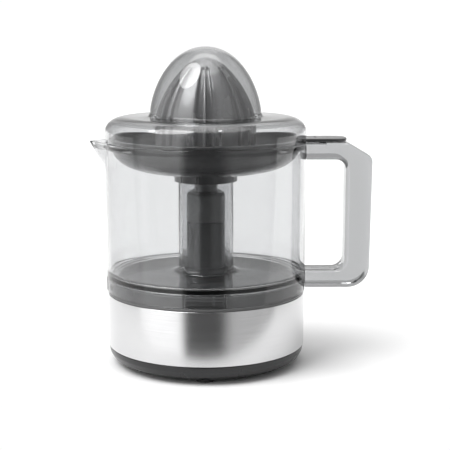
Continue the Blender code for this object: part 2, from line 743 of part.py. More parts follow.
def jug_handle(finish):
    """Box-section handle, joined to the jug's wall at two feet, with a pocket for the sieve's key."""
    outline = handle_outline()
    bm = bmesh.new()
    half = HANDLE_WIDTH / 2
    face = bm.faces.new([bm.verts.new((x, -half, z)) for x, z in outline])
    grown = bmesh.ops.extrude_face_region(bm, geom=[face])
    far = [v for v in grown["geom"] if isinstance(v, bmesh.types.BMVert)]
    bmesh.ops.translate(bm, verts=far, vec=(0, HANDLE_WIDTH, 0))
    bmesh.ops.recalc_face_normals(bm, faces=bm.faces)
    wall = JUG_RADIUS + GAP
    long_edges = [
        e
        for e in bm.edges
        if abs(e.verts[0].co.y - e.verts[1].co.y) < 1e-9
        and max(v.co.x for v in e.verts) > wall + 1e-5
    ]
    bmesh.ops.bevel(bm, geom=long_edges, offset=HANDLE_EDGE, segments=2, profile=0.5, affect="EDGES")
    made = node("jug_handle", bm, finish)
    saddle = node("handle_saddle", disc(JUG_RADIUS + GAP, 0, 0.3, LARGE_SIDES), finish)
    combine(made, saddle, "DIFFERENCE")
    pocket = block(
        (0, -TAB_KEY_WIDTH / 2 - 2 * GAP, JUG_RIM - TAB_KEY_HEIGHT - 2 * GAP),
        (
            JUG_RADIUS + 1 * MM + TAB_KEY_LENGTH + 2 * GAP,
            TAB_KEY_WIDTH / 2 + 2 * GAP,
            JUG_RIM + 2 * MM,
        ),
    )
    combine(made, node("handle_pocket", pocket, finish), "DIFFERENCE")
    return made


# ---- Strainer ----------------------------------------------------------------------------------


def bowl_curve(radius, bottom, steps):
    """The bowl's outline from its upper edge in to the clip ring."""
    return bezier(
        [
            (radius, FLANGE_UNDER - 3 * MM),
            (radius - 1.0 * MM, bottom + 7.5 * MM),
            (0.78 * radius, bottom + 0.8 * MM),
            (CLIP_RING_OUTER + 3 * MM, bottom),
        ],
        steps,
    )


def strainer(finish):
    """Sieve bowl with its flange, hub, clip ring, juice slots, and thumb tab with a key below it."""
    under = bowl_curve(BOWL_RADIUS, BOWL_BOTTOM, 5)
    over = bowl_curve(BOWL_RADIUS - BOWL_WALL, BOWL_FLOOR, 5)
    profile = [
        (FLANGE_RADIUS, FLANGE_TOP),
        (FLANGE_RADIUS, FLANGE_UNDER),
        (BOWL_RADIUS, FLANGE_UNDER),
        *under,
        (HUB_INNER, BOWL_BOTTOM),
        (HUB_INNER, HUB_TOP),
        (HUB_OUTER, HUB_TOP),
        (HUB_OUTER + 0.4 * MM, BOWL_FLOOR),
        *reversed(over),
        (BOWL_RADIUS - BOWL_WALL, FLANGE_TOP),
    ]
    bowl = node("strainer", turned(distinct(profile), LARGE_SIDES), finish)
    tab_out = JUG_RADIUS + TAB_REACH
    tab = prism(
        [
            (FLANGE_RADIUS - 3 * MM, -TAB_HALF_WIDTH),
            (tab_out - 9 * MM, -TAB_HALF_WIDTH + 1 * MM),
            *[
                (tab_out - 9 * MM + x, y)
                for x, y in [polar(9 * MM, d) for d in (-60, -30, 0, 30, 60)]
            ],
            (tab_out - 9 * MM, TAB_HALF_WIDTH - 1 * MM),
            (FLANGE_RADIUS - 3 * MM, TAB_HALF_WIDTH),
        ],
        FLANGE_UNDER,
        FLANGE_TOP - 0.1 * MM,
    )
    key_start = JUG_RADIUS + 1 * MM
    key = block(
        (key_start, -TAB_KEY_WIDTH / 2, JUG_RIM - TAB_KEY_HEIGHT),
        (key_start + TAB_KEY_LENGTH, TAB_KEY_WIDTH / 2, FLANGE_UNDER + 1 * MM),
    )
    combine(bowl, node("strainer_tab", tab, finish), "UNION")
    combine(bowl, node("strainer_key", key, finish), "UNION")
    slots = []
    for i in range(SIEVE_SLOTS):
        slot = block(
            (SLOT_INNER, -SLOT_WIDTH / 2, BOWL_BOTTOM - 5 * MM),
            (SLOT_OUTER, SLOT_WIDTH / 2, BOWL_FLOOR + 10 * MM),
        )
        slots.append(turn(slot, (i + 0.5) * 360 / SIEVE_SLOTS))
    combine(bowl, node("strainer_slots", merged(slots), finish), "DIFFERENCE")
    return bowl


def clip_ring(finish):
    """Ring under the bowl, split into fingers that grip the jug's tube."""
    high = BOWL_BOTTOM - GAP
    low = BOWL_BOTTOM - CLIP_RING_HEIGHT
    profile = [
        (CLIP_RING_OUTER, low),
        (CLIP_RING_OUTER, high),
        (CLIP_RING_INNER, high),
        (CLIP_RING_INNER, low),
    ]
    ring = node("clip_ring", turned(profile, LARGE_SIDES), finish)
    splits = []
    for degrees, width in ((245, 1.6 * MM), (258, 3.0 * MM), (65, 1.6 * MM), (78, 3.0 * MM)):
        split = block(
            (CLIP_RING_INNER - 0.5 * MM, -width / 2, low - 1 * MM),
            (CLIP_RING_OUTER + 1 * MM, width / 2, high - CLIP_RING_BAND),
        )
        splits.append(turn(split, degrees))
    combine(ring, node("clip_ring_splits", merged(splits), finish), "DIFFERENCE")
    return ring


# ---- Cones -------------------------------------------------------------------------------------


def fluted(outer, flutes, depth, width, fade):
    """A closed shape turned from an outline that ends on the axis, with grooves down its sides.

    width is each groove's share of its pitch; fade(height) scales its depth.
    """
    bm = bmesh.new()
    marks = (0.0, 0.5 - width / 2, 0.5 - width / 3.4, 0.5, 0.5 + width / 3.4, 0.5 + width / 2)
    sunk = (0.0, 0.0, 1.0, 1.0, 1.0, 0.0)
    angles = [
        ((k + mark) * math.tau / flutes, share)
        for k in range(flutes)
        for mark, share in zip(marks, sunk)
    ]
    rings = []
    for radius, height in outer:
        ring = []
        for angle, share in angles:
            r = radius - depth * share * fade(height)
            ring.append(bm.verts.new((r * math.cos(angle), r * math.sin(angle), height)))
        rings.append(ring)
    count = len(angles)
    for low, high in zip(rings, rings[1:]):
        for i in range(count):
            j = (i + 1) % count
            bm.faces.new((low[i], low[j], high[j], high[i]))
    bm.faces.new(list(reversed(rings[0])))
    bm.faces.new(rings[-1])
    bmesh.ops.recalc_face_normals(bm, faces=bm.faces)
    return bm


def cone_curve(radius, low, high, steps):
    """Half outline of a reamer's dome, from its widest ring up to a small flat top."""
    rise = high - low
    points = bezier(
        [
            (radius, low),
            (0.905 * radius, low + 0.43 * rise),
            (0.43 * radius, high),
            (2.0 * MM, high),
        ],
        steps,
    )
    return points


def large_cone(finish):
    """Hollow outer cone for big fruit, with inner ribs that key it to the small cone."""
    shoulder = CONE_BOTTOM + CONE_SKIRT_TOP
    outer = [
        (CONE_SKIRT_RADIUS, CONE_BOTTOM),
        (CONE_SKIRT_RADIUS, shoulder - 3 * MM),
        *cone_curve(CONE_DOME_RADIUS, shoulder, CONE_TOP, 8),
    ]

    def fade(height):
        start = smooth_step((height - CONE_BOTTOM - 6 * MM) / (10 * MM))
        end = smooth_step((CONE_TOP - 6 * MM - height) / (8 * MM))
        return start * end

    shape = turn(fluted(outer, CONE_FLUTES, FLUTE_DEPTH, FLUTE_SHARE, fade), FLUTE_TURN)
    cone = node("large_cone", shape, finish)
    inner_radius = CONE_SKIRT_RADIUS - FLUTE_DEPTH - CONE_WALL
    hollow_profile = [
        (0, CONE_BOTTOM - 1 * MM),
        (inner_radius, CONE_BOTTOM - 1 * MM),
        (inner_radius, shoulder - 6 * MM),
        *cone_curve(inner_radius - 0.6 * MM, shoulder - 4 * MM, CONE_TOP - 4.0 * MM, 6),
        (0, CONE_TOP - 4.0 * MM),
    ]
    hollow = node("large_cone_hollow", turned(hollow_profile, MEDIUM_SIDES), finish)
    combine(cone, hollow, "DIFFERENCE")
    ribs = []
    rib_low = CONE_BOTTOM + 6 * MM
    rib_high = SMALL_CONE_BOTTOM + 0.5 * SMALL_CONE_HEIGHT
    rib_inner = SMALL_CONE_RADIUS - SMALL_CONE_RIB + 1.2 * MM
    for i in range(4):
        rib = block(
            (rib_inner, -KEY_RIB_WIDTH / 2, rib_low),
            (inner_radius + 1 * MM, KEY_RIB_WIDTH / 2, rib_high),
        )
        ribs.append(turn(rib, i * 90))
    combine(cone, node("large_cone_ribs", merged(ribs), finish), "UNION")
    return cone


def smooth_step(t):
    t = min(1.0, max(0.0, t))
    return t * t * (3 - 2 * t)


def small_cone(finish):
    """Inner cone for small fruit: it stands over the sieve's hub and takes the drive head."""
    rise = SMALL_CONE_BOTTOM + 0.42 * SMALL_CONE_HEIGHT
    outer = [
        (SMALL_CONE_RADIUS, SMALL_CONE_BOTTOM),
        *cone_curve(SMALL_CONE_RADIUS, rise, SMALL_CONE_TOP, 6),
    ]

    def fade(height):
        return smooth_step((SMALL_CONE_TOP - 3 * MM - height) / (10 * MM))

    # The grooves' floors lie at 0, 90, 180 and 270 degrees too, where the large cone's ribs run.
    shape = turn(fluted(outer, CONE_FLUTES, SMALL_CONE_RIB, SMALL_FLUTE_SHARE, fade), FLUTE_TURN)
    cone = node("small_cone", shape, finish)
    bore_profile = [
        (0, SMALL_CONE_BOTTOM - 1 * MM),
        (SMALL_CONE_SKIRT_BORE, SMALL_CONE_BOTTOM - 1 * MM),
        (SMALL_CONE_SKIRT_BORE, HUB_TOP + 1.0 * MM),
        (0, HUB_TOP + 1.0 * MM),
    ]
    bore = node("small_cone_bore", turned(bore_profile, MEDIUM_SIDES), finish)
    combine(cone, bore, "DIFFERENCE")
    socket = disc(HEX_RADIUS + GAP, HUB_TOP - 1 * MM, HEAD_TOP + SOCKET_ROOM, 6)
    combine(cone, node("small_cone_socket", socket, finish), "DIFFERENCE")
    return cone


# ---- Dust cover --------------------------------------------------------------------------------


def cover_profile(inset):
    """Outline of the cover from its lower edge to the dome's top, inset by the wall for the inside."""
    side = JUG_RADIUS - inset
    flat = COVER_FLAT - inset
    dome = DOME_RADIUS - inset
    top = COVER_FLAT + DOME_HEIGHT - inset
    low = COVER_BOTTOM + COVER_SIDE
    shoulder = bezier(
        [
            (side, low),
            (side, low + 0.62 * COVER_SHOULDER),
            (COVER_FLAT_RADIUS + 6.5 * MM - inset, flat),
            (COVER_FLAT_RADIUS - 2 * MM, flat),
        ],
        4,
    )
    foot = [(dome + 2.2 * MM, flat + 0.5 * MM), (dome + 0.6 * MM, flat + 2.2 * MM)]
    rise = top - flat
    hood = bezier(
        [
            (dome, flat + 4 * MM),
            (dome - 3.5 * MM, flat + 0.54 * rise),
            (0.553 * dome, top),
            (0, top),
        ],
        6,
    )
    return [(side, COVER_BOTTOM), *shoulder, *foot, *hood]


def dust_cover(finish):
    """Clear cover: a rounded ring over the sieve bowl and a tall dome over the cone."""
    profile = cover_profile(0) + list(reversed(cover_profile(COVER_WALL)))
    cover = node("dust_cover", turned(distinct(profile), LARGE_SIDES), finish)
    notch = block(
        (JUG_RADIUS - 10 * MM, -TAB_HALF_WIDTH - 2 * GAP, COVER_BOTTOM - 1 * MM),
        (JUG_RADIUS + 2 * MM, TAB_HALF_WIDTH + 2 * GAP, FLANGE_TOP + GAP),
    )
    combine(cover, node("cover_notch", notch, finish), "DIFFERENCE")
    return cover


# ---- Drive train -------------------------------------------------------------------------------


def gear_outline(teeth, module, first_tooth):
    """Involute gear outline with a little backlash. first_tooth is a tooth's bearing in degrees."""
    pressure = math.radians(20)
    pitch = module * teeth / 2
    base = pitch * math.cos(pressure)
    tip = pitch + 0.95 * module
    root = pitch - 1.2 * module
    half_tooth = math.pi / (2 * teeth) - BACKLASH / (2 * pitch)

    def involute(radius):
        angle = math.acos(min(1.0, base / radius))
        return math.tan(angle) - angle

    at_pitch = involute(pitch)
    flank = [max(base, root), tip]
    points = []
    for i in range(teeth):
        middle = math.radians(first_tooth) + i * math.tau / teeth
        for radius in [root, *flank]:
            spread = half_tooth + at_pitch - involute(max(radius, base))
            points.append((radius, middle - spread))
        for radius in [*reversed(flank), root]:
            spread = half_tooth + at_pitch - involute(max(radius, base))
            points.append((radius, middle + spread))
    return distinct([(r * math.cos(a), r * math.sin(a)) for r, a in points])


def bearing_between(start, end):
    return math.degrees(math.atan2(end[1] - start[1], end[0] - start[0]))


def gear(name, teeth, module, first_tooth, low, high, at, finish):
    made = node(name, prism(gear_outline(teeth, module, first_tooth), low, high), finish)
    return place(made, at)


def bore(obj, radius, low, high):
    hole = disc(radius, low - 1 * MM, high + 1 * MM, MEDIUM_SIDES)
    cutter = node(f"{obj.name}_bore", hole, obj.data.materials[0])
    cutter.location = obj.location
    return combine(obj, cutter, "DIFFERENCE")


def gears(finish):
    """Motor pinion, compound idler and output gear, with a tooth in a space on each centre line."""
    to_motor = bearing_between(IDLER_CENTRE, MOTOR_CENTRE)
    to_shaft = bearing_between(IDLER_CENTRE, (0, 0))
    low, high = IDLER_GEAR_BOTTOM - 0.4 * MM, IDLER_PINION_BOTTOM - 0.2 * MM
    tooth = to_motor + 180 + 180 / PINION_TEETH
    pinion = gear("motor_pinion", PINION_TEETH, MODULE, tooth, low, high, MOTOR_CENTRE, finish)
    bore(pinion, MOTOR_SHAFT_RADIUS + GAP, low, high)

    low, high = IDLER_GEAR_BOTTOM, IDLER_PINION_BOTTOM - 0.6 * MM
    idler = gear("idler_gear", IDLER_TEETH, MODULE, to_motor, low, high, IDLER_CENTRE, finish)
    upper = gear(
        "idler_upper",
        IDLER_PINION_TEETH,
        STAGE2_MODULE,
        to_shaft,
        high - 0.6 * MM,
        IDLER_PINION_TOP,
        IDLER_CENTRE,
        finish,
    )
    combine(idler, upper, "UNION")
    bore(idler, AXLE_RADIUS + 2 * RUNNING_GAP, low, IDLER_PINION_TOP)

    low, high = OUTPUT_GEAR_BOTTOM, OUTPUT_GEAR_TOP
    tooth = to_shaft + 180 + 180 / OUTPUT_TEETH
    output = gear("output_gear", OUTPUT_TEETH, STAGE2_MODULE, tooth, low, high, (0, 0), finish)
    bore(output, SHAFT_RADIUS + GAP, low, high)


def rod(name, radius, low, high, at, sides, finish):
    """Plain round pin or shaft with a small chamfer at each end."""
    edge = 0.15 * radius
    profile = [
        (0, low),
        (radius - edge, low),
        (radius, low + edge),
        (radius, high - edge),
        (radius - edge, high),
        (0, high),
    ]
    made = node(name, turned(profile, sides), finish)
    made.location = (*at, 0)
    return made


def drive_head(finish):
    """Hexagonal driver pressed on the shaft's top, which the small cone drops over."""
    head = node("drive_head", disc(HEX_RADIUS, HEAD_BOTTOM, HEAD_TOP, 6), finish)
    bevel = head.modifiers.new("edges", "BEVEL")
    bevel.width = 0.6 * MM
    bevel.segments = 1
    blind = disc(SHAFT_RADIUS + GAP, HEAD_BOTTOM - 1 * MM, HEAD_TOP - 4 * MM, MEDIUM_SIDES)
    return combine(head, node("drive_head_bore", blind, finish), "DIFFERENCE")


def bush(name, low, finish, outer):
    """Plain bearing ring round the drive shaft."""
    profile = [
        (SHAFT_RADIUS + 2 * RUNNING_GAP, low),
        (outer, low),
        (outer, low + BUSH_LENGTH),
        (SHAFT_RADIUS + 2 * RUNNING_GAP, low + BUSH_LENGTH),
    ]
    return node(name, turned(profile, MEDIUM_SIDES), finish)


def gear_plate(finish):
    """Steel plate under the gears that carries the motor, the idler's axle and the lower bush."""
    places = [(*MOTOR_CENTRE, 16 * MM), (*IDLER_CENTRE, 8 * MM), (0, 0, 12 * MM)]
    places += [(*at, 6.5 * MM) for at in GEAR_POSTS]
    rim = [(*point, 0) for x, y, r in places for point in circle(r, 20, (x, y))]
    flat = hull(rim + [(x, y, GEAR_PLATE_THICKNESS) for x, y, _ in rim])
    bmesh.ops.translate(flat, verts=flat.verts, vec=(0, 0, GEAR_PLATE_UNDER))
    plate = node("gear_plate", flat, finish)
    holes = [disc(LOWER_BUSH_RADIUS + GAP, 0, 0.1, MEDIUM_SIDES)]
    holes.append(disc(AXLE_RADIUS + GAP, 0, 0.1, 16, IDLER_CENTRE))
    holes.append(disc(5.0 * MM, 0, 0.1, 16, MOTOR_CENTRE))
    holes += [disc(SCREW_RADIUS + GAP, 0, 0.1, 12, at) for at in GEAR_POSTS]
    holes += [disc(SCREW_RADIUS + GAP, 0, 0.1, 12, at) for at in motor_screw_places()]
    return combine(plate, node("gear_plate_holes", merged(holes), finish), "DIFFERENCE")


def motor_screw_places():
    """Two places on the motor's cover, on the side that the idler gear leaves free."""
    found = []
    away = bearing_between(IDLER_CENTRE, MOTOR_CENTRE)
    for side in (-1, 1):
        dx, dy = polar(MOTOR_RADIUS * 0.72, away + side * 70)
        found.append((MOTOR_CENTRE[0] + dx, MOTOR_CENTRE[1] + dy))
    return found


def motor(case_finish, cover_finish, coil_finish, rotor_finish, steel):
    """Flat synchronous motor: drawn steel case, coil on its bobbin, magnet rotor, shaft and cover."""
    inside = MOTOR_RADIUS - MOTOR_WALL
    lip = MOTOR_TOP - 1.5 * MM - GAP
    case_profile = [
        (MOTOR_SHAFT_RADIUS + 4 * MM, MOTOR_BOTTOM),
        (MOTOR_RADIUS, MOTOR_BOTTOM),
        (MOTOR_RADIUS, lip),
        (inside, lip),
        (inside, MOTOR_BOTTOM + MOTOR_WALL),
        (MOTOR_SHAFT_RADIUS + 4 * MM, MOTOR_BOTTOM + MOTOR_WALL),
    ]
    place(node("motor_case", turned(case_profile, MEDIUM_SIDES), case_finish), MOTOR_CENTRE)
    lid = disc(MOTOR_RADIUS, MOTOR_TOP - 1.5 * MM, MOTOR_TOP, MEDIUM_SIDES, MOTOR_CENTRE)
    cover = node("motor_cover", lid, cover_finish)
    holes = [disc(MOTOR_SHAFT_RADIUS + 2 * RUNNING_GAP, 0, 0.1, MEDIUM_SIDES, MOTOR_CENTRE)]
    holes += [disc(SCREW_RADIUS + GAP, 0, 0.1, 12, at) for at in motor_screw_places()]
    combine(cover, node("motor_cover_holes", merged(holes), cover_finish), "DIFFERENCE")
    coil_low = MOTOR_BOTTOM + MOTOR_WALL + GAP
    coil_high = lip - 3.5 * MM
    coil_profile = [
        (ROTOR_RADIUS + 1.0 * MM, coil_low),
        (inside - GAP, coil_low),
        (inside - GAP, coil_low + 1 * MM),
        (inside - 2.0 * MM, coil_low + 1.6 * MM),
        (inside - 2.0 * MM, coil_high - 1.6 * MM),
        (inside - GAP, coil_high - 1 * MM),
        (inside - GAP, coil_high),
        (ROTOR_RADIUS + 1.0 * MM, coil_high),
    ]
    place(node("motor_coil", turned(coil_profile, MEDIUM_SIDES), coil_finish), MOTOR_CENTRE)
    rotor_low = coil_low + 0.6 * MM
    rotor_profile = [
        (MOTOR_SHAFT_RADIUS + GAP, rotor_low),
        (ROTOR_RADIUS, rotor_low),
        (ROTOR_RADIUS, rotor_low + ROTOR_HEIGHT),
        (MOTOR_SHAFT_RADIUS + GAP, rotor_low + ROTOR_HEIGHT),
    ]
    place(node("motor_rotor", turned(rotor_profile, MEDIUM_SIDES), rotor_finish), MOTOR_CENTRE)
    shaft_top = IDLER_PINION_BOTTOM + 0.6 * MM
    rod("motor_shaft", MOTOR_SHAFT_RADIUS, MOTOR_BOTTOM - 0.4 * MM, shaft_top, MOTOR_CENTRE, 16, steel)
    for i, at in enumerate(motor_screw_places()):
        head_under = GEAR_PLATE_TOP + 0.1 * MM
        screw(f"motor_screw_{i + 1}", at, head_under, 6 * MM, steel, upward=False)


def place(obj, at):
    obj.location = (*at, 0)
    return obj


def switch_plunger(finish):
    """Cup under the shaft's end that passes the press on to the spring and the switch's lever."""
    profile = [
        (0, PLUNGER_BOTTOM),
        (2.6 * MM, PLUNGER_BOTTOM),
        (2.6 * MM, PLUNGER_FLANGE_UNDER - 1 * MM),
        (3.2 * MM, PLUNGER_FLANGE_UNDER),
        (9.0 * MM, PLUNGER_FLANGE_UNDER),
        (9.0 * MM, PLUNGER_TOP),
        (7.4 * MM, PLUNGER_TOP + 2.2 * MM),
        (SHAFT_RADIUS + 0.4 * MM, PLUNGER_TOP + 2.2 * MM),
        (SHAFT_RADIUS + 0.4 * MM, PLUNGER_TOP),
        (0, PLUNGER_TOP),
    ]
    return node("switch_plunger", turned(profile, SMALL_SIDES), finish)


def return_spring(finish):
    """Compression spring between the bottom plate and the plunger's flange."""
    low = PLATE_FLOOR + SPRING_WIRE + GAP
    high = PLUNGER_FLANGE_UNDER - SPRING_WIRE - GAP
    per_turn = 10
    count = SPRING_TURNS * per_turn
    curve = bpy.data.curves.new("return_spring", "CURVE")
    curve.dimensions = "3D"
    curve.bevel_depth = SPRING_WIRE / 2
    curve.bevel_resolution = 1
    curve.use_fill_caps = True
    spline = curve.splines.new("POLY")
    spline.points.add(count)
    for i in range(count + 1):
        x, y = polar(SPRING_RADIUS, i * 360 / per_turn)
        spline.points[i].co = (x, y, low + (high - low) * i / count, 1)
    curve.materials.append(finish)
    obj = bpy.data.objects.new("return_spring", curve)
    bpy.context.scene.collection.objects.link(obj)
    return obj


def micro_switch(case_finish, lever_finish):
    """Snap switch on the bottom plate, with the lever that the plunger's flange pushes down."""
    lever_top = PLUNGER_FLANGE_UNDER - GAP
    pivot_x = 7.8 * MM + LEVER_ARM
    case_top = lever_top - LEVER_THICKNESS - 2.2 * MM
    case = block(
        (pivot_x - SWITCH_LENGTH + 4 * MM, -SWITCH_WIDTH / 2, case_top - SWITCH_HEIGHT),
        (pivot_x + 4 * MM, SWITCH_WIDTH / 2, case_top),
    )
    post = block(
        (pivot_x + 1.8 * MM, -SWITCH_WIDTH / 2, case_top - 1 * MM),
        (pivot_x + 4 * MM, SWITCH_WIDTH / 2, lever_top + 1.2 * MM),
    )
    body = combine(
        node("micro_switch", case, case_finish), node("switch_post", post, case_finish), "UNION"
    )
    button = disc(1.0 * MM, case_top - 1 * MM, case_top + 1.0 * MM, 12, (pivot_x - 8 * MM, 0))
    combine(body, node("switch_button", button, case_finish), "UNION")
    lever = block(
        (-LEVER_ARM - 1.4 * MM, -2.0 * MM, -LEVER_THICKNESS), (1.0 * MM, 2.0 * MM, 0)
    )
    strip = node("switch_lever", lever, lever_finish)
    strip.location = (pivot_x, 0, lever_top)
    support = block(
        (pivot_x - SWITCH_LENGTH + 5 * MM, -SWITCH_WIDTH / 2 - 1.5 * MM, PLATE_FLOOR + GAP),
        (pivot_x + 3 * MM, SWITCH_WIDTH / 2 + 1.5 * MM, case_top - SWITCH_HEIGHT - GAP),
    )
    node("switch_bracket", support, lever_finish)
    return pivot_x, lever_top


# ---- The whole object --------------------------------------------------------------------------


def main():
    clear_scene()
    clear = material("clear_plastic", (0.80, 0.81, 0.82), 0.08, alpha=0.3)
    smoke = material("smoked_plastic", (0.10, 0.10, 0.11), 0.2)
    black = material("black_plastic", (0.025, 0.025, 0.027), 0.28)
    brushed = material("brushed_steel", (0.62, 0.62, 0.63), 0.32, metallic=1.0)
    steel = material("plain_steel", (0.55, 0.55, 0.57), 0.35, metallic=1.0)
    rubber = material("rubber", (0.03, 0.03, 0.03), 0.75)
    nylon = material("white_nylon", (0.85, 0.85, 0.82), 0.5)
    brass = material("sintered_bronze", (0.50, 0.36, 0.18), 0.45, metallic=1.0)
    copper = material("copper_coil", (0.55, 0.24, 0.10), 0.4, metallic=1.0)
    magnet = material("ferrite_magnet", (0.08, 0.08, 0.085), 0.6)
    red = material("switch_red", (0.35, 0.03, 0.03), 0.5)

    bottom_plate(black)
    feet(rubber)
    for i, bearing in enumerate(PLATE_SCREW_BEARINGS):
        at = polar(PLATE_SCREW_CIRCLE, bearing)
        screw(f"plate_screw_{i + 1}", at, PLATE_FLOOR + 0.5 * MM, 12 * MM, steel)
    band_cord_hole(steel_band(brushed), brushed)
    base_housing(black)
    cord_grommet(rubber)
    tower_cap(black)

    jug(clear)
    jug_floor(clear)
    jug_handle(clear)
    strainer(smoke)
    clip_ring(smoke)
    large_cone(smoke)
    small_cone(smoke)
    dust_cover(clear)

    gears(nylon)
    gear_plate(steel)
    motor(steel, steel, copper, magnet, steel)
    rod("idler_axle", AXLE_RADIUS, GEAR_PLATE_UNDER, DECK_UNDER - 0.4 * MM, IDLER_CENTRE, 16, steel)
    rod("drive_shaft", SHAFT_RADIUS, SHAFT_BOTTOM, HEAD_TOP - 4.5 * MM, (0, 0), MEDIUM_SIDES, steel)
    drive_head(nylon)
    bush("upper_bush", NECK_TOP - BUSH_LENGTH, brass, BUSH_RADIUS)
    bush("lower_bush", GEAR_PLATE_UNDER - 0.5 * MM, brass, LOWER_BUSH_RADIUS)
    for i, at in enumerate(GEAR_POSTS):
        screw(f"gear_plate_screw_{i + 1}", at, GEAR_PLATE_UNDER - 0.1 * MM, 8 * MM, steel)
    switch_plunger(nylon)
    return_spring(steel)
    micro_switch(red, steel)
    for obj in bpy.data.objects:
        obj.location.x += AXIS_X


main()
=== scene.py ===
import json
import math

import bpy
from mathutils import Matrix, Vector


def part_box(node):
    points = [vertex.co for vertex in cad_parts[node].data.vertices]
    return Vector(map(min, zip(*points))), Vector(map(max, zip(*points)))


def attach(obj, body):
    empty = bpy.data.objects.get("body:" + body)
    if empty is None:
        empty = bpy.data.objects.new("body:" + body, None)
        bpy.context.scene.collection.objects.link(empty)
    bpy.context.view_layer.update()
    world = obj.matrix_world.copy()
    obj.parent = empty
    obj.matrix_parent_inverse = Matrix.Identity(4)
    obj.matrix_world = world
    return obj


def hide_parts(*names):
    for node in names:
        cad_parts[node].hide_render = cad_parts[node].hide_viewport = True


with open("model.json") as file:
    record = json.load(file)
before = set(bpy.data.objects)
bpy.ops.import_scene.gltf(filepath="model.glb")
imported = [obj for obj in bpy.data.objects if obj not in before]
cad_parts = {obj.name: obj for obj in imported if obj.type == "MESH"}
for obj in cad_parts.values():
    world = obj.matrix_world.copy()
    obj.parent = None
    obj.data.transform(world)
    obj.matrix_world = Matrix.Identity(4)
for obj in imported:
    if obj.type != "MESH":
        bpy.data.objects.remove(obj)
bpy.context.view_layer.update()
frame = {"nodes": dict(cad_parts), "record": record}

# ---- Studio ------------------------------------------------------------------------------------
# A white table runs back without an edge. Two tall soft boxes stand left and right of the camera
# with a dark gap between them, a third hangs overhead, and a lamp at the left casts the shadow.
# Dark flags beside the backdrop draw the outlines of the clear pieces.

band_low, band_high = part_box("steel_band")
AXIS = (band_low.x + band_high.x) / 2
BODY_RADIUS = (band_high.x - band_low.x) / 2
CAMERA_AWAY = 0.8916
CAMERA_HEIGHT = 0.2612
CAMERA_ASIDE = 0.015
CAMERA_TILT = 9.74
CAMERA_LENS = 91.8
GAP_LEFT, GAP_RIGHT = -24.0, 19.0  # bearings of the dark gap's edges, in degrees from the front
TABLE_EDGE = -0.118
BACKDROP, BOX_LEFT, BOX_RIGHT, CEILING, GAP_LIGHT = 0.82, 1.4, 0.52, 1.7, 0.1
FLAG_DEPTH = 0.55  # how much of the backdrop's light a flag takes away
LAMP_POWER, LAMP_TILT, LAMP_LEAN, LAMP_SPREAD = 1.9, 14, -30, 40


class Signal:
    """A value in a shader. Arithmetic on it adds Math nodes."""

    def __init__(self, shader, socket):
        self.shader = shader
        self.socket = socket

    def maths(self, operation, first, second=0.0):
        return self.shader.make("ShaderNodeMath", {"operation": operation}, {0: first, 1: second})

    def __add__(self, other):
        return self.maths("ADD", self, other)

    def __sub__(self, other):
        return self.maths("SUBTRACT", self, other)

    def __rsub__(self, other):
        return self.maths("SUBTRACT", other, self)

    def __mul__(self, other):
        return self.maths("MULTIPLY", self, other)

    def __pow__(self, other):
        return self.maths("POWER", self, other)

    __radd__ = __add__
    __rmul__ = __mul__

    def between(self, low, high):
        """0 up to low, 1 from high, and a smooth rise in between."""
        settings = {"interpolation_type": "SMOOTHSTEP"}
        values = {"Value": self, "From Min": low, "From Max": high}
        return self.shader.make("ShaderNodeMapRange", settings, values)


class Shader:
    """The nodes of one material or world."""

    def __init__(self, owner):
        owner.use_nodes = True
        self.tree = owner.node_tree

    def make(self, kind, settings=None, values=None, output=0):
        node = self.tree.nodes.new(kind)
        for name, setting in (settings or {}).items():
            setattr(node, name, setting)
        for name, value in (values or {}).items():
            self.feed(node.inputs[name], value)
        return Signal(self, node.outputs[output])

    def feed(self, socket, value):
        if isinstance(value, Signal):
            self.tree.links.new(value.socket, socket)
        else:
            socket.default_value = value

    def colour(self, share, first, second):
        """first where share is 0 and second where it is 1."""
        values = {0: share, 6: (*first, 1.0), 7: (*second, 1.0)}
        return self.make("ShaderNodeMix", {"data_type": "RGBA"}, values, output=2)

    def noise(self, scale, detail=2.0, stretch=(1.0, 1.0, 1.0)):
        """Noise on the object's own coordinates, in cycles a metre along X, Y and Z."""
        place = self.make("ShaderNodeTexCoord", output="Object")
        sizes = tuple(scale * factor for factor in stretch)
        mapped = self.make("ShaderNodeMapping", values={"Vector": place, "Scale": sizes})
        values = {"Vector": mapped, "Scale": 1.0, "Detail": detail}
        return self.make("ShaderNodeTexNoise", values=values)

    def bump(self, height, depth, strength=1.0):
        """A normal from a height of 0 to 1 that stands for depth in metres."""
        values = {"Height": height, "Distance": depth, "Strength": strength}
        return self.make("ShaderNodeBump", values=values)


def deselect():
    bpy.ops.object.select_all(action="DESELECT")


deselect()
bpy.ops.object.camera_add(
    location=(AXIS + CAMERA_ASIDE, -CAMERA_AWAY, CAMERA_HEIGHT),
    rotation=(math.radians(90 - CAMERA_TILT), 0, 0),
)
camera = bpy.context.object
camera.data.lens = CAMERA_LENS
camera.data.sensor_width = 36.0
bpy.context.scene.camera = camera
bpy.context.scene.view_settings.view_transform = "Standard"

deselect()
bpy.ops.mesh.primitive_plane_add(size=8, location=(AXIS, 4.0 + TABLE_EDGE, 0))
table = bpy.context.object
table.name = "table"
table_paint = bpy.data.materials.new("white_table")
shader = Shader(table_paint)
surface = shader.tree.nodes["Principled BSDF"]
mottle = shader.noise(3.0)
white = shader.colour(mottle, (0.88, 0.88, 0.88), (0.90, 0.90, 0.90))
shader.feed(surface.inputs["Base Color"], white)
surface.inputs["Roughness"].default_value = 0.7
surface.inputs["Specular IOR Level"].default_value = 0.1
table.data.materials.append(table_paint)

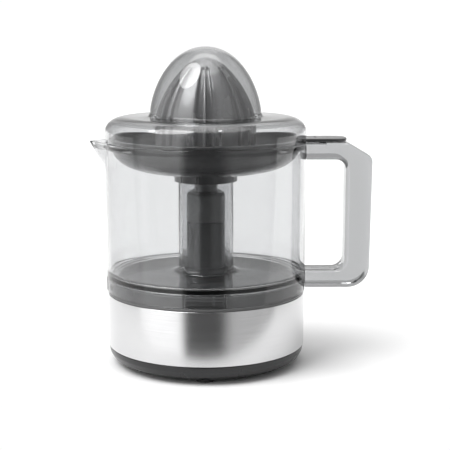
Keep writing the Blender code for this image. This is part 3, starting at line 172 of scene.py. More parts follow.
studio = bpy.data.worlds.new("studio")
bpy.context.scene.world = studio
shader = Shader(studio)
way = shader.make("ShaderNodeTexCoord", output="Generated")
split = shader.make("ShaderNodeSeparateXYZ", values={"Vector": way}, output="X").socket.node
east, north, up = (Signal(shader, socket) for socket in split.outputs)
bearing = east.maths("ARCTAN2", east, 0.0 - north) * math.degrees(1)
left_box = 1.0 - bearing.between(GAP_LEFT - 8, GAP_LEFT + 5)
right_box = bearing.between(GAP_RIGHT - 5, GAP_RIGHT + 16)
front = (0.0 - north).between(0.0, 0.3)
side = east.maths("ABSOLUTE", east)
lifted = (0.0 - east).between(0.6, 0.95) * 0.6
flag = side.between(0.14, 0.36) * (1.0 - lifted) * FLAG_DEPTH
overhead = up.between(0.84, 0.92)
boxes = front * (left_box * BOX_LEFT + right_box * BOX_RIGHT)
studio_light = (1.0 - front) * (1.0 - flag) * BACKDROP + boxes + overhead * CEILING + front * GAP_LIGHT
seen = shader.make("ShaderNodeLightPath", output="Is Camera Ray")
brightness = studio_light * (1.0 - seen) + seen * 1.02
shader.feed(shader.tree.nodes["Background"].inputs["Strength"], brightness)
shader.tree.nodes["Background"].inputs["Color"].default_value = (1, 1, 1, 1)

deselect()
bpy.ops.object.light_add(
    type="SUN", rotation=(math.radians(LAMP_TILT), math.radians(LAMP_LEAN), 0)
)
lamp = bpy.context.object
lamp.data.energy = LAMP_POWER
lamp.data.angle = math.radians(LAMP_SPREAD)

# ---- Bottom plate and feet ---------------------------------------------------------------------
# The tray that closes the base from below is glossy black plastic. Its rim stands straight under
# the steel, then turns in towards the table. Four rubber pads are pressed into its underside.

plate_low, plate_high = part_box("bottom_plate")
PLATE_RIM = plate_high.z
PLATE_FLOOR = plate_low.z
PLATE_WALL = 0.0025
FOOT_PAD = 0.0075
FOOT_WELL = FOOT_PAD + 0.0003
FOOT_RIM = 0.0022
SCREW_WELL = 0.0035
BELOW = -0.01  # a height clear of the underside, where cutters start
TURNS = 192


def rounded(corners, steps=6):
    """The corners as a run of points. A corner's third number is the radius it is rounded to."""
    run = []
    for i, (across, height, *radius) in enumerate(corners):
        here = Vector((across, height))
        if not radius:
            run.append(here)
            continue
        before = Vector(corners[i - 1][:2]) - here
        after = Vector(corners[(i + 1) % len(corners)][:2]) - here
        half = before.angle(after) / 2
        reach = min(radius[0] / math.tan(half), 0.49 * before.length, 0.49 * after.length)
        inward = (before.normalized() + after.normalized()).normalized()
        centre = here + inward * (reach / math.cos(half))
        start = here + before.normalized() * reach - centre
        end = here + after.normalized() * reach - centre
        sweep = start.angle_signed(end)
        for k in range(steps + 1):
            angle = -sweep * k / steps
            turned_way = Matrix.Rotation(angle, 2) @ start
            run.append(centre + turned_way)
    return run


def curve(first, pull, push, last, steps=12):
    """Points along a curve from first to last, leaving towards pull and arriving from push."""
    run = []
    for k in range(steps + 1):
        t = k / steps
        weights = ((1 - t) ** 3, 3 * t * (1 - t) ** 2, 3 * t * t * (1 - t), t**3)
        points = (first, pull, push, last)
        run.append(sum((Vector(p) * w for p, w in zip(points, weights)), Vector((0, 0))))
    return run


def edit(kind="VERT"):
    """Goes into edit mode with everything selected."""
    bpy.ops.object.mode_set(mode="EDIT")
    bpy.ops.mesh.select_mode(type=kind)
    bpy.ops.mesh.select_all(action="SELECT")


def pick(piece, wanted):
    """Goes into edit mode on the faces that pass a test."""
    for part in (piece.data.vertices, piece.data.edges):
        part.foreach_set("select", [False] * len(part))
    for face in piece.data.polygons:
        face.select = wanted(face)
    bpy.context.tool_settings.mesh_select_mode = (False, False, True)
    bpy.ops.object.mode_set(mode="EDIT")


def leave_edit():
    bpy.ops.object.mode_set(mode="OBJECT")


def settle(piece):
    """Moves the piece's place, turn and size into its mesh."""
    deselect()
    piece.select_set(True)
    bpy.context.view_layer.objects.active = piece
    bpy.ops.object.transform_apply(location=True, rotation=True, scale=True)


def smooth(piece, degrees=30):
    deselect()
    piece.select_set(True)
    bpy.context.view_layer.objects.active = piece
    bpy.ops.object.shade_smooth_by_angle(angle=math.radians(degrees))


def drawn(name, run, side=0.0, closed=True):
    """A run of edges in the plane across the base, from points of distance from the axis and height."""
    deselect()
    start = run[0]
    bpy.ops.mesh.primitive_plane_add(size=0.001, location=(AXIS + start.x, side, start.y))
    piece = bpy.context.object
    piece.name = name
    edit()
    bpy.ops.mesh.merge(type="CENTER")
    for here, there in zip(run, run[1:] + (run[:1] if closed else [])):
        step = (there.x - here.x, 0, there.y - here.y)
        bpy.ops.mesh.extrude_vertices_move(TRANSFORM_OT_translate={"value": step})
    bpy.ops.mesh.select_all(action="SELECT")
    bpy.ops.mesh.remove_doubles(threshold=1e-6)
    return piece


def turned(name, run, turns=TURNS, closed=True):
    """A section turned right round the base's axis. One that starts and ends on it isn't closed."""
    piece = drawn(name, [Vector(point) for point in run], closed=closed)
    bpy.ops.mesh.spin(steps=turns, angle=math.tau, center=(AXIS, 0, 0), axis=(0, 0, 1))
    bpy.ops.mesh.select_all(action="SELECT")
    bpy.ops.mesh.remove_doubles(threshold=2e-6)
    bpy.ops.mesh.dissolve_degenerate(threshold=1e-7)
    bpy.ops.mesh.normals_make_consistent(inside=False)
    leave_edit()
    settle(piece)
    smooth(piece)
    return piece


def finished(piece, paint, slot, body, *nodes):
    """The piece's material, the body that it moves with, and the nodes that it stands for."""
    piece.data.materials.clear()
    piece.data.materials.append(paint)
    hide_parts(*nodes)
    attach(piece, body)
    return piece


def moulded(name, dark, light, roughness, grain=3e-5, wiping=0.1, coat=0.0, ior=1.5):
    """Moulded plastic: a drift in its colour, wiping marks in its gloss, and the mould's grain."""
    paint = bpy.data.materials.new(name)
    shader = Shader(paint)
    surface = shader.tree.nodes["Principled BSDF"]
    drift = shader.noise(35.0, 3.0)
    wiped = shader.noise(60.0, 5.0, (1.0, 1.0, 0.35)).between(0.35, 0.7)
    fine = shader.noise(2600.0, 2.0)
    scuff = shader.noise(500.0, 2.0, (1.0, 1.0, 6.0)).between(0.66, 0.76)
    base = shader.colour((drift + scuff * 0.6).between(0.3, 1.2), dark, light)
    shader.feed(surface.inputs["Base Color"], base)
    shader.feed(surface.inputs["Roughness"], roughness + wiped * wiping + scuff * 0.08)
    shader.feed(surface.inputs["Normal"], shader.bump(fine, grain))
    surface.inputs["IOR"].default_value = ior
    surface.inputs["Coat Weight"].default_value = coat
    surface.inputs["Coat Roughness"].default_value = 0.08
    return paint


black_plastic = moulded("black_plastic", (0.009, 0.009, 0.010), (0.022, 0.022, 0.023), 0.2)
plate = turned(
    "bottom_tray",
    rounded(
        [
            (0, PLATE_FLOOR),
            (BODY_RADIUS - 0.0165, PLATE_FLOOR, 0.001),
            (BODY_RADIUS - 0.0150, PLATE_FLOOR - 0.0013, 0.001),
            (BODY_RADIUS - 0.0105, PLATE_FLOOR - 0.0013, 0.003),
            (BODY_RADIUS - 0.0031, PLATE_FLOOR + 0.0030, 0.0016),
            (BODY_RADIUS - 0.0009, PLATE_FLOOR + 0.0072, 0.004),
            (BODY_RADIUS - 0.0003, PLATE_RIM, 0.0005),
            (BODY_RADIUS - 0.0033, PLATE_RIM),
            (BODY_RADIUS - 0.0036, PLATE_FLOOR + PLATE_WALL + 0.004, 0.003),
            (BODY_RADIUS - 0.010, PLATE_FLOOR + PLATE_WALL, 0.003),
            (0, PLATE_FLOOR + PLATE_WALL),
        ]
    ),
    closed=False,
)


def cut(piece, cutter, operation="DIFFERENCE"):
    """Takes the cutter out of the piece, or joins the two, and removes the cutter."""
    deselect()
    piece.select_set(True)
    bpy.context.view_layer.objects.active = piece
    change = piece.modifiers.new("cut", "BOOLEAN")
    change.operation = operation
    change.object = cutter
    change.solver = "EXACT"
    bpy.ops.object.modifier_apply(modifier="cut")
    bpy.data.objects.remove(cutter, do_unlink=True)
    smooth(piece)
    return piece


def post(name, centre, radius, low, high, edge=0.0003, sides=48):
    """A round post with rounded ends."""
    deselect()
    bpy.ops.mesh.primitive_cylinder_add(
        vertices=sides, radius=radius, depth=high - low, location=(*centre, (low + high) / 2)
    )
    piece = bpy.context.object
    piece.name = name
    pick(piece, lambda face: abs(face.normal.z) > 0.9)
    bpy.ops.mesh.bevel(offset=edge, segments=3, affect="EDGES")
    leave_edit()
    settle(piece)
    smooth(piece)
    return piece


for i in range(1, 5):
    low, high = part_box(f"foot_{i}")
    centre = ((low.x + high.x) / 2, (low.y + high.y) / 2)
    cut(plate, post("well", centre, FOOT_WELL, BELOW, PLATE_FLOOR + 0.001))
    low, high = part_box(f"plate_screw_{i}")
    centre = ((low.x + high.x) / 2, (low.y + high.y) / 2)
    cut(plate, post("well", centre, SCREW_WELL, BELOW, PLATE_FLOOR + PLATE_WALL * 2))
finished(plate, black_plastic, "black_plastic", "base", "bottom_plate")

rubber = moulded("foot_rubber", (0.018, 0.018, 0.018), (0.035, 0.035, 0.035), 0.62, 6e-5)
for i in range(1, 5):
    low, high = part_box(f"foot_{i}")
    centre = ((low.x + high.x) / 2, (low.y + high.y) / 2)
    foot = post(f"foot_pad_{i}", centre, FOOT_PAD, low.z, high.z, 0.001, 64)
    pick(foot, lambda face: face.normal.z < -0.99 and face.area > 1e-5)
    bpy.ops.mesh.inset(thickness=FOOT_RIM)
    bpy.ops.mesh.extrude_region_move(TRANSFORM_OT_translate={"value": (0, 0, 0.0005)})
    leave_edit()
    finished(foot, rubber, "rubber", "base", f"foot_{i}")

# ---- Steel band --------------------------------------------------------------------------------
# A sleeve of thin stainless sheet, ground round and round with a fine belt, so that its grain runs
# level. It is pushed on over the black housing and held by the bottom plate.

BAND_SHEET = 0.0008


def brushed_steel():
    paint = bpy.data.materials.new("brushed_steel")
    shader = Shader(paint)
    surface = shader.tree.nodes["Principled BSDF"]
    lines = shader.noise(1.0, 3.0, (25.0, 25.0, 5200.0))
    coarse = shader.noise(1.0, 2.0, (14.0, 14.0, 1300.0))
    cloud = shader.noise(28.0, 4.0)
    spots = shader.noise(900.0, 2.0).between(0.72, 0.8)
    grain = lines * 0.6 + coarse * 0.4
    tone = grain * 0.6 + cloud * 0.4 - spots * 0.15
    base = shader.colour(tone.between(0.2, 0.8), (0.56, 0.56, 0.565), (0.70, 0.70, 0.705))
    shader.feed(surface.inputs["Base Color"], base)
    shader.feed(surface.inputs["Roughness"], 0.17 + grain.between(0.3, 0.7) * 0.07 + cloud * 0.05)
    shader.feed(surface.inputs["Normal"], shader.bump(grain, 4e-6, 0.6))
    surface.inputs["Metallic"].default_value = 1.0
    surface.inputs["Anisotropic"].default_value = 0.75
    surface.inputs["Anisotropic Rotation"].default_value = 0.25
    return paint


band = turned(
    "steel_sleeve",
    rounded(
        [
            (BODY_RADIUS, band_low.z, 0.0003),
            (BODY_RADIUS, band_high.z, 0.0004),
            (BODY_RADIUS - BAND_SHEET, band_high.z, 0.0003),
            (BODY_RADIUS - BAND_SHEET, band_low.z, 0.0003),
        ],
        3,
    ),
)
finished(band, brushed_steel(), "brushed_steel", "base", "steel_band")

# ---- Housing -----------------------------------------------------------------------------------
# One black moulding closes the base on top: a lip over the steel, the deck with the collar that
# centres the jug, four lugs, and the tower's lower half rising from a low boss.

house_low, house_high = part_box("base_housing")
jug_low, jug_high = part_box("jug")
DECK = jug_low.z - 0.0003
JUG_RADIUS = jug_high.y
JUG_WALL = 0.0023
LUG_WIDTH = 0.028
LUG_HEIGHT = 0.0043
LUG_DEPTH = 0.0022
COLLAR = JUG_RADIUS - JUG_WALL - LUG_DEPTH - 0.0009
COLLAR_WALL = 0.0025
COLLAR_TOP = DECK + 0.0085
BOSS = 0.0186
BOSS_TOP = DECK + 0.0175
TOWER = 0.0154
TOWER_WALL = 0.002
SEAM = house_high.z
DECK_SHEET = 0.0025
SKIN = BODY_RADIUS - BAND_SHEET - 0.0003
SCREW_POST = 0.004
SCREW_BORE = 0.0018
LEAD_HOLE = 0.0058

housing = turned(
    "housing",
    rounded(
        [
            (SKIN, band_low.z),
            (SKIN, band_high.z + 0.0003),
            (BODY_RADIUS, band_high.z + 0.0003, 0.0003),
            (BODY_RADIUS, DECK, 0.0008),
            (COLLAR, DECK, 0.0008),
            (COLLAR, COLLAR_TOP, 0.0008),
            (COLLAR - COLLAR_WALL, COLLAR_TOP, 0.0008),
            (COLLAR - COLLAR_WALL, DECK, 0.001),
            (BOSS, DECK, 0.002),
            (BOSS, BOSS_TOP, 0.0012),
            (TOWER, BOSS_TOP, 0.0008),
            (TOWER - 0.0003, SEAM, 0.0004),
            (TOWER - TOWER_WALL, SEAM),
            (TOWER - TOWER_WALL, DECK - DECK_SHEET, 0.001),
            (SKIN - 0.0022, DECK - DECK_SHEET, 0.002),
            (SKIN - 0.0022, band_low.z),
        ]
    ),
)


def block(name, low, high, edge=0.0003):
    """A squared block with its edges rounded."""
    deselect()
    middle = (Vector(low) + Vector(high)) / 2
    bpy.ops.mesh.primitive_cube_add(size=1, location=middle, scale=Vector(high) - Vector(low))
    piece = bpy.context.object
    piece.name = name
    bpy.ops.object.transform_apply(location=True, rotation=True, scale=True)
    edit()
    bpy.ops.mesh.bevel(offset=edge, segments=3, affect="EDGES")
    leave_edit()
    smooth(piece)
    return piece


def spun(piece, degrees):
    """Turns a finished piece round the base's axis."""
    deselect()
    piece.select_set(True)
    bpy.context.view_layer.objects.active = piece
    piece.data.transform(Matrix.Translation((-AXIS, 0, 0)))
    piece.data.transform(Matrix.Rotation(math.radians(degrees), 4, "Z"))
    piece.data.transform(Matrix.Translation((AXIS, 0, 0)))
    return piece


LUG_LOW = DECK + 0.002
for i in range(4):
    lug = block(
        "lug",
        (AXIS + COLLAR - 0.0012, -LUG_WIDTH / 2, LUG_LOW),
        (AXIS + COLLAR + LUG_DEPTH - 0.0014, LUG_WIDTH / 2, LUG_LOW + LUG_HEIGHT),
        0.0005,
    )
    pick(lug, lambda face: face.normal.x > 0.99)
    bpy.ops.mesh.inset(thickness=0.0005)
    bpy.ops.mesh.extrude_region_move(TRANSFORM_OT_translate={"value": (-0.0006, 0, 0)})
    leave_edit()
    cut(housing, spun(lug, 270 + i * 90), "UNION")
for i in range(1, 4):
    low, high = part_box(f"gear_plate_screw_{i}")
    centre = ((low.x + high.x) / 2, (low.y + high.y) / 2)
    pillar = post("pillar", centre, SCREW_POST, high.z - 0.0055, DECK - DECK_SHEET / 2)
    cut(housing, pillar, "UNION")
for i in range(1, 5):
    low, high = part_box(f"plate_screw_{i}")
    centre = ((low.x + high.x) / 2, (low.y + high.y) / 2)
    pillar = post("pillar", centre, SCREW_POST, house_low.z, DECK - DECK_SHEET / 2)
    cut(housing, pillar, "UNION")
    cut(housing, post("bore", centre, SCREW_BORE, house_low.z - 0.001, high.z + 0.001))
grommet_low, grommet_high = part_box("cord_grommet")
CORD_HEIGHT = (grommet_low.z + grommet_high.z) / 2
for wall in (housing, band):
    deselect()
    bpy.ops.mesh.primitive_cylinder_add(
        vertices=64,
        radius=LEAD_HOLE,
        depth=0.02,
        location=(AXIS, BODY_RADIUS, CORD_HEIGHT),
        rotation=(math.pi / 2, 0, 0),
    )
    hole = bpy.context.object
    settle(hole)
    cut(wall, hole)
# The housing is the same black plastic as the bottom tray, but its colour is painted several times
# lighter: painted light, a lit copy of that plastic.
house_black_lightened = moulded("house_black_lightened", (0.10, 0.10, 0.101), (0.145, 0.145, 0.147), 0.18, 4e-5)
finished(housing, house_black_lightened, "black_plastic", "base", "base_housing")

# ---- Bush for the mains lead -------------------------------------------------------------------
# A soft black bush snaps into the back wall, where the lead goes in.

bush = turned(
    "lead_bush",
    rounded(
        [
            (0.0033, 0.0, 0.0005),
            (0.0071, 0.0, 0.0004),
            (0.0071, 0.0014, 0.0004),
            (0.0055, 0.0014),
            (0.0055, 0.0047),
            (0.0047, 0.0055, 0.0005),
            (0.0033, 0.0055, 0.0005),
        ],
        4,
    ),
    64,
)
bush.data.transform(Matrix.Translation((-AXIS, 0, 0)))
bush.data.transform(Matrix.Rotation(-math.pi / 2, 4, "X"))
bush.data.transform(Matrix.Translation((AXIS, grommet_low.y, CORD_HEIGHT)))
finished(bush, rubber, "rubber", "base", "cord_grommet")

# ---- Tower cap ---------------------------------------------------------------------------------
# The tower's upper half plugs into the lower one. It has a round shoulder, and the narrow neck on
# top holds the upper bush round the drive shaft.

cap_low, cap_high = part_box("tower_cap")
NECK = 0.0092
SHOULDER = cap_high.z - 0.0348
cap = turned(
    "tower_cap_shell",
    rounded(
        [
            (TOWER - TOWER_WALL - 0.0003, cap_low.z, 0.0005),
            (TOWER - TOWER_WALL - 0.0003, SEAM + 0.0003),
            (TOWER, SEAM + 0.0003, 0.0004),
            (TOWER, SHOULDER, 0.0061),
            (NECK, SHOULDER, 0.0015),
            (NECK, cap_high.z, 0.0008),
            (0.0066, cap_high.z, 0.0004),
            (0.0066, cap_high.z - 0.0083),
            (0.0054, cap_high.z - 0.0083),
            (0.0054, SHOULDER - 0.002),
            (TOWER - TOWER_WALL, SHOULDER - 0.002, 0.004),
            (TOWER - TOWER_WALL, SEAM + 0.0016, 0.001),
            (TOWER - TOWER_WALL - 0.0018, SEAM),
            (TOWER - TOWER_WALL - 0.0018, cap_low.z),
        ]
    ),
    128,
)
# The cap is the base's black plastic, but its colour is painted grey: painted light, a lit copy of that
# plastic.
tower_black_lightened = moulded("tower_black_lightened", (0.16, 0.16, 0.162), (0.21, 0.21, 0.213), 0.2, 4e-5, 0.1, 0.5)
finished(cap, tower_black_lightened, "black_plastic", "base", "tower_cap")

# ---- Motor, gears and switch -------------------------------------------------------------------
# Inside the base a flat motor hangs under a zinc-plated steel plate. Its pinion, a stepped idler
# and the large output gear are nylon. A sprung plunger under the shaft works the switch's lever.


def plated_steel():
    """Zinc-plated sheet and turned steel: a fine grain with a cloudy, slightly blue bloom."""
    paint = bpy.data.materials.new("plated_steel")
    shader = Shader(paint)
    surface = shader.tree.nodes["Principled BSDF"]
    cloud = shader.noise(120.0, 4.0)
    grain = shader.noise(900.0, 3.0, (1.0, 1.0, 8.0))
    base = shader.colour(cloud.between(0.3, 0.7), (0.46, 0.47, 0.49), (0.62, 0.62, 0.63))
    shader.feed(surface.inputs["Base Color"], base)
    shader.feed(surface.inputs["Roughness"], 0.24 + grain * 0.2)
    shader.feed(surface.inputs["Normal"], shader.bump(grain, 1.5e-5))
    surface.inputs["Metallic"].default_value = 1.0
    return paint


def wound_copper():
    """Varnished copper wire wound in level turns, with painted shade in the grooves between the turns.
    """
    paint = bpy.data.materials.new("wound_copper")
    shader = Shader(paint)
    surface = shader.tree.nodes["Principled BSDF"]
    place = shader.make("ShaderNodeTexCoord", output="Object")
    settings = {"wave_type": "BANDS", "bands_direction": "Z"}
    turns = shader.make("ShaderNodeTexWave", settings, {"Vector": place, "Scale": 800.0}, output="Fac")
    drift = shader.noise(300.0, 2.0)
    # Painted shade: the colour darkens in each groove between turns, on top of a random drift in tone.
    base = shader.colour(turns * 0.6 + drift * 0.4, (0.25, 0.08, 0.03), (0.62, 0.27, 0.11))
    shader.feed(surface.inputs["Base Color"], base)
    shader.feed(surface.inputs["Roughness"], 0.25 + drift * 0.2)
    shader.feed(surface.inputs["Normal"], shader.bump(turns, 1e-4))
    surface.inputs["Metallic"].default_value = 0.8
    return paint


def sintered_bronze():
    """Pressed and sintered bronze, full of fine pores that hold oil. The pores are painted dark:
    painted shade in the pits.
    """
    paint = bpy.data.materials.new("porous_bronze")
    shader = Shader(paint)
    surface = shader.tree.nodes["Principled BSDF"]
    pores = shader.noise(3500.0, 2.0).between(0.5, 0.62)
    oil = shader.noise(150.0, 3.0)
    # Painted shade: the pores are darker than the bronze around them.
    base = shader.colour(pores, (0.46, 0.30, 0.13), (0.16, 0.10, 0.05))
    shader.feed(surface.inputs["Base Color"], base)
    shader.feed(surface.inputs["Roughness"], 0.3 + pores * 0.3 + oil * 0.15)
    shader.feed(surface.inputs["Normal"], shader.bump(1.0 - pores, 4e-5))
    surface.inputs["Metallic"].default_value = 1.0
    return paint


inner_finishes = {
    "plain_steel": plated_steel(),
    "copper_coil": wound_copper(),
    "sintered_bronze": sintered_bronze(),
    "white_nylon": moulded("nylon", (0.74, 0.73, 0.69), (0.86, 0.85, 0.82), 0.4, 4e-5),
    "ferrite_magnet": moulded("ferrite", (0.04, 0.04, 0.042), (0.08, 0.08, 0.085), 0.5, 9e-5),
    "switch_red": moulded("switch_case", (0.25, 0.02, 0.02), (0.38, 0.04, 0.035), 0.4, 5e-5),
}
for entry in frame["record"]["subparts"]:
    paint = inner_finishes.get(entry["material_slot"])
    if paint:
        inner_piece = frame["nodes"][entry["node"]]
        inner_piece.data.materials.clear()
        inner_piece.data.materials.append(paint)

# ---- Jug ---------------------------------------------------------------------------------------
# The jug is moulded in one clear, lightly smoked plastic: wall, raised floor, the tube that clears
# the tower, a skirt that drops over the base's collar, and a sharp pouring lip pulled out of the
# rim.

JUG_LOW, JUG_RIM = jug_low.z, jug_high.z
JUG_INNER = JUG_RADIUS - JUG_WALL
RIM_INNER = JUG_RADIUS - 0.0044
FLOOR_UNDER = JUG_LOW + 0.0107
FLOOR_TOP = FLOOR_UNDER + 0.0025
TUBE_INNER = BOSS + 0.0007
TUBE_OUTER = TUBE_INNER + 0.0022
TUBE_TOP = FLOOR_UNDER + 0.0785
LIP_REACH = AXIS - jug_low.x - JUG_RADIUS
LIP_DROP = 0.023
LIP_HALF = 0.022
LIP_NOSE = 0.0012


def stepped(run, low, high, pitch):
    """The run with extra points wherever it climbs between two heights."""
    made = []
    for here, there in zip(run, run[1:] + run[:1]):
        made.append(here)
        bottom, top = sorted((here.y, there.y))
        count = int(abs(there.y - here.y) / pitch)
        if bottom < high and top > low:
            for k in range(1, count):
                point = here.lerp(there, k / count)
                if low <= point.y <= high:
                    made.append(point)
    return made


def clear_plastic(name, tint, edge_absorption_and_shade):
    """Clear moulded plastic: faint flow waves, wiping haze, lamps that shine through it, and a colour
    that darkens at edges seen side-on, partly absorption and partly painted shade.
    """
    paint = bpy.data.materials.new(name)
    shader = Shader(paint)
    surface = shader.tree.nodes["Principled BSDF"]
    flow = shader.noise(22.0, 2.0, (1.0, 1.0, 0.4))
    haze = shader.noise(45.0, 4.0).between(0.45, 0.75)
    scratch = shader.noise(700.0, 2.0, (1.0, 1.0, 0.05)).between(0.7, 0.78)
    # Painted shade, partly absorption: the colour darkens towards edges seen side-on, which draws dark
    # outlines round the clear pieces.
    rim = shader.make("ShaderNodeLayerWeight", values={"Blend": 0.4}, output="Facing")
    share = flow * 0.12 + rim.between(0.25, 0.95) * 0.88
    shader.feed(surface.inputs["Base Color"], shader.colour(share, tint, edge_absorption_and_shade))
    shader.feed(surface.inputs["Roughness"], 0.012 + haze * 0.02 + scratch * 0.05)
    shader.feed(surface.inputs["Normal"], shader.bump(flow, 1.2e-4, 0.25))
    surface.inputs["IOR"].default_value = 1.49
    surface.inputs["Transmission Weight"].default_value = 1.0
    lamp_ray = shader.make("ShaderNodeLightPath", output="Is Shadow Ray")
    through = shader.make("ShaderNodeBsdfTransparent", values={"Color": (0.93, 0.93, 0.93, 1)})
    glass = Signal(shader, surface.outputs[0])
    mixed = shader.make("ShaderNodeMixShader", values={0: lamp_ray, 1: glass, 2: through})
    shader.feed(shader.tree.nodes["Material Output"].inputs["Surface"], mixed)
    return paint


jug_run = rounded(
    [
        (JUG_RADIUS, JUG_LOW, 0.0006),
        (JUG_RADIUS, JUG_RIM, 0.0007),
        (RIM_INNER, JUG_RIM, 0.0005),
        (RIM_INNER, JUG_RIM - 0.002, 0.0005),
        (JUG_INNER, JUG_RIM - 0.005, 0.001),
        (JUG_INNER, FLOOR_TOP, 0.004),
        (TUBE_OUTER, FLOOR_TOP, 0.0055),
        (TUBE_OUTER, TUBE_TOP, 0.0009),
        (TUBE_INNER, TUBE_TOP, 0.0009),
        (TUBE_INNER, FLOOR_UNDER, 0.0015),
        (JUG_INNER, FLOOR_UNDER, 0.0012),
        (JUG_INNER, JUG_LOW, 0.0006),
    ]
)
jug = turned("jug_shell", stepped(jug_run, JUG_RIM - LIP_DROP, JUG_RIM, 0.0022), 256)
slope = (JUG_RADIUS + LIP_REACH - math.sqrt(JUG_RADIUS**2 - LIP_HALF**2)) / LIP_HALF
for point in jug.data.vertices:
    across = abs(point.co.y)
    if point.co.x > AXIS or across > LIP_HALF or point.co.z < JUG_RIM - LIP_DROP:
        continue
    soft = math.hypot(across, LIP_NOSE) - LIP_NOSE
    line = JUG_RADIUS + LIP_REACH - slope * soft
    push = max(0.0, line - math.sqrt(JUG_RADIUS**2 - across**2))
    if AXIS - point.co.x > 0.05:
        point.co.x -= push * (point.co.z - (JUG_RIM - LIP_DROP)) / LIP_DROP


def joined(pieces):
    deselect()
    for piece in pieces:
        piece.select_set(True)
    bpy.context.view_layer.objects.active = pieces[0]
    bpy.ops.object.join()
    return bpy.context.object


ribs = []
for i in range(4):
    for side in (-1, 1):
        near = side * (LUG_WIDTH / 2 + 0.0006)
        far = near + side * 0.0016
        low = (AXIS + COLLAR + 0.0006, min(near, far), JUG_LOW + 0.0005)
        high = (AXIS + JUG_INNER + 0.001, max(near, far), FLOOR_UNDER + 0.0006)
        ribs.append(spun(block("rib", low, high, 0.0003), 270 + i * 90))
cut(jug, joined(ribs), "UNION")
# The second colour is the edge colour: partly absorption, partly painted shade that draws dark
# outlines.
clear_jug = clear_plastic("clear_jug", (0.79, 0.795, 0.80), (0.50, 0.505, 0.51))
finished(jug, clear_jug, "clear_plastic", "jug", "jug", "jug_floor")

# ---- Handle ------------------------------------------------------------------------------------
# A solid clear loop with rounded edges, bonded to the jug's wall at both feet. A pocket in its
# upper foot takes the key under the sieve's tab.

handle_low, handle_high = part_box("jug_handle")
HANDLE_OUT = handle_high.x - AXIS
HANDLE_TOP, HANDLE_BOTTOM = handle_high.z, handle_low.z
HANDLE_IN = HANDLE_OUT - 0.0208
UPPER_ARM, LOWER_ARM = 0.0134, 0.014
HANDLE_HALF = handle_high.y
ROOT = JUG_RADIUS - 0.009
LEAN = 0.0013
HANDLE_ROUND = 0.0042
handle_run = rounded(
    [
        (ROOT, HANDLE_TOP),
        (HANDLE_OUT - 0.0195, HANDLE_TOP, 0.006),
        (HANDLE_OUT, HANDLE_TOP - 0.0115, 0.007),
        (HANDLE_OUT - LEAN, HANDLE_BOTTOM, 0.017),
        (ROOT, HANDLE_BOTTOM),
        (ROOT, HANDLE_BOTTOM + LOWER_ARM),
        (HANDLE_IN, HANDLE_BOTTOM + LOWER_ARM, 0.009),
        (HANDLE_IN, HANDLE_TOP - UPPER_ARM, 0.0075),
        (ROOT, HANDLE_TOP - UPPER_ARM),
    ],
    10,
)
handle = drawn("handle_loop", handle_run, -HANDLE_HALF)
bpy.ops.mesh.edge_face_add()
bpy.ops.mesh.extrude_region_move(TRANSFORM_OT_translate={"value": (0, 2 * HANDLE_HALF, 0)})
bpy.ops.mesh.select_all(action="SELECT")
bpy.ops.mesh.normals_make_consistent(inside=False)
leave_edit()
settle(handle)
edges = handle.modifiers.new("edges", "BEVEL")
edges.width = HANDLE_ROUND
edges.segments = 8
edges.limit_method = "ANGLE"
edges.angle_limit = math.radians(60)
deselect()
handle.select_set(True)
bpy.context.view_layer.objects.active = handle
bpy.ops.object.modifier_apply(modifier="edges")
deselect()
bpy.ops.mesh.primitive_cylinder_add(
    vertices=256, radius=JUG_RADIUS + 0.0003, depth=0.4, location=(AXIS, 0, 0.1)
)
saddle = bpy.context.object
settle(saddle)
cut(handle, saddle)
KEY_HALF, KEY_LENGTH, KEY_DEPTH = 0.007, 0.014, 0.003
pocket = block(
    "pocket",
    (AXIS, -KEY_HALF - 0.0006, JUG_RIM - KEY_DEPTH - 0.0006),
    (AXIS + JUG_RADIUS + 0.001 + KEY_LENGTH + 0.0006, KEY_HALF + 0.0006, JUG_RIM + 0.01),
    0.0008,
)
cut(handle, pocket)
# The handle's tint is darker than the jug's, partly for absorption in its thick solid plastic and
# partly as painted shade. Its edge colour is partly absorption, partly painted shade for dark outlines.
clear_handle = clear_plastic("clear_handle", (0.44, 0.445, 0.45), (0.16, 0.165, 0.17))
finished(handle, clear_handle, "clear_plastic", "jug", "jug_handle")

# ---- Strainer ----------------------------------------------------------------------------------
# The sieve bowl is smoked plastic. Its flange sits on the jug's rim, a split ring under it grips
# the tube, a hub stands round the tower's neck, and a thumb tab reaches over the handle.

sieve_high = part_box("strainer")[1]
FLANGE = sieve_high.y
FLANGE_TOP = sieve_high.z
FLANGE_UNDER = FLANGE_TOP - 0.0024
BOWL = RIM_INNER - 0.0006
BOWL_WALL = 0.002
BOWL_BOTTOM = FLANGE_UNDER - 0.0248
BOWL_FLOOR = BOWL_BOTTOM + BOWL_WALL
RING_INNER = TUBE_OUTER + 0.0012
RING_OUTER = RING_INNER + 0.002
RING_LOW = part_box("clip_ring")[0].z
HUB_INNER = NECK + 0.001
HUB_OUTER = HUB_INNER + 0.0022
HUB_TOP = BOWL_BOTTOM + 0.022
SLOTS = 36
SLOT_START, SLOT_SHORT, SLOT_LONG = 0.030, 0.041, 0.052
SLOT_HALF = 0.0008
SPLIT_BEARINGS = (222, 256, 42, 76)


def bowl_curve(radius, bottom):
    return curve(
        (radius, FLANGE_UNDER - 0.003),
        (radius - 0.001, bottom + 0.0075),
        (0.78 * radius, bottom + 0.0008),
        (RING_OUTER + 0.003, bottom),
        24,
    )


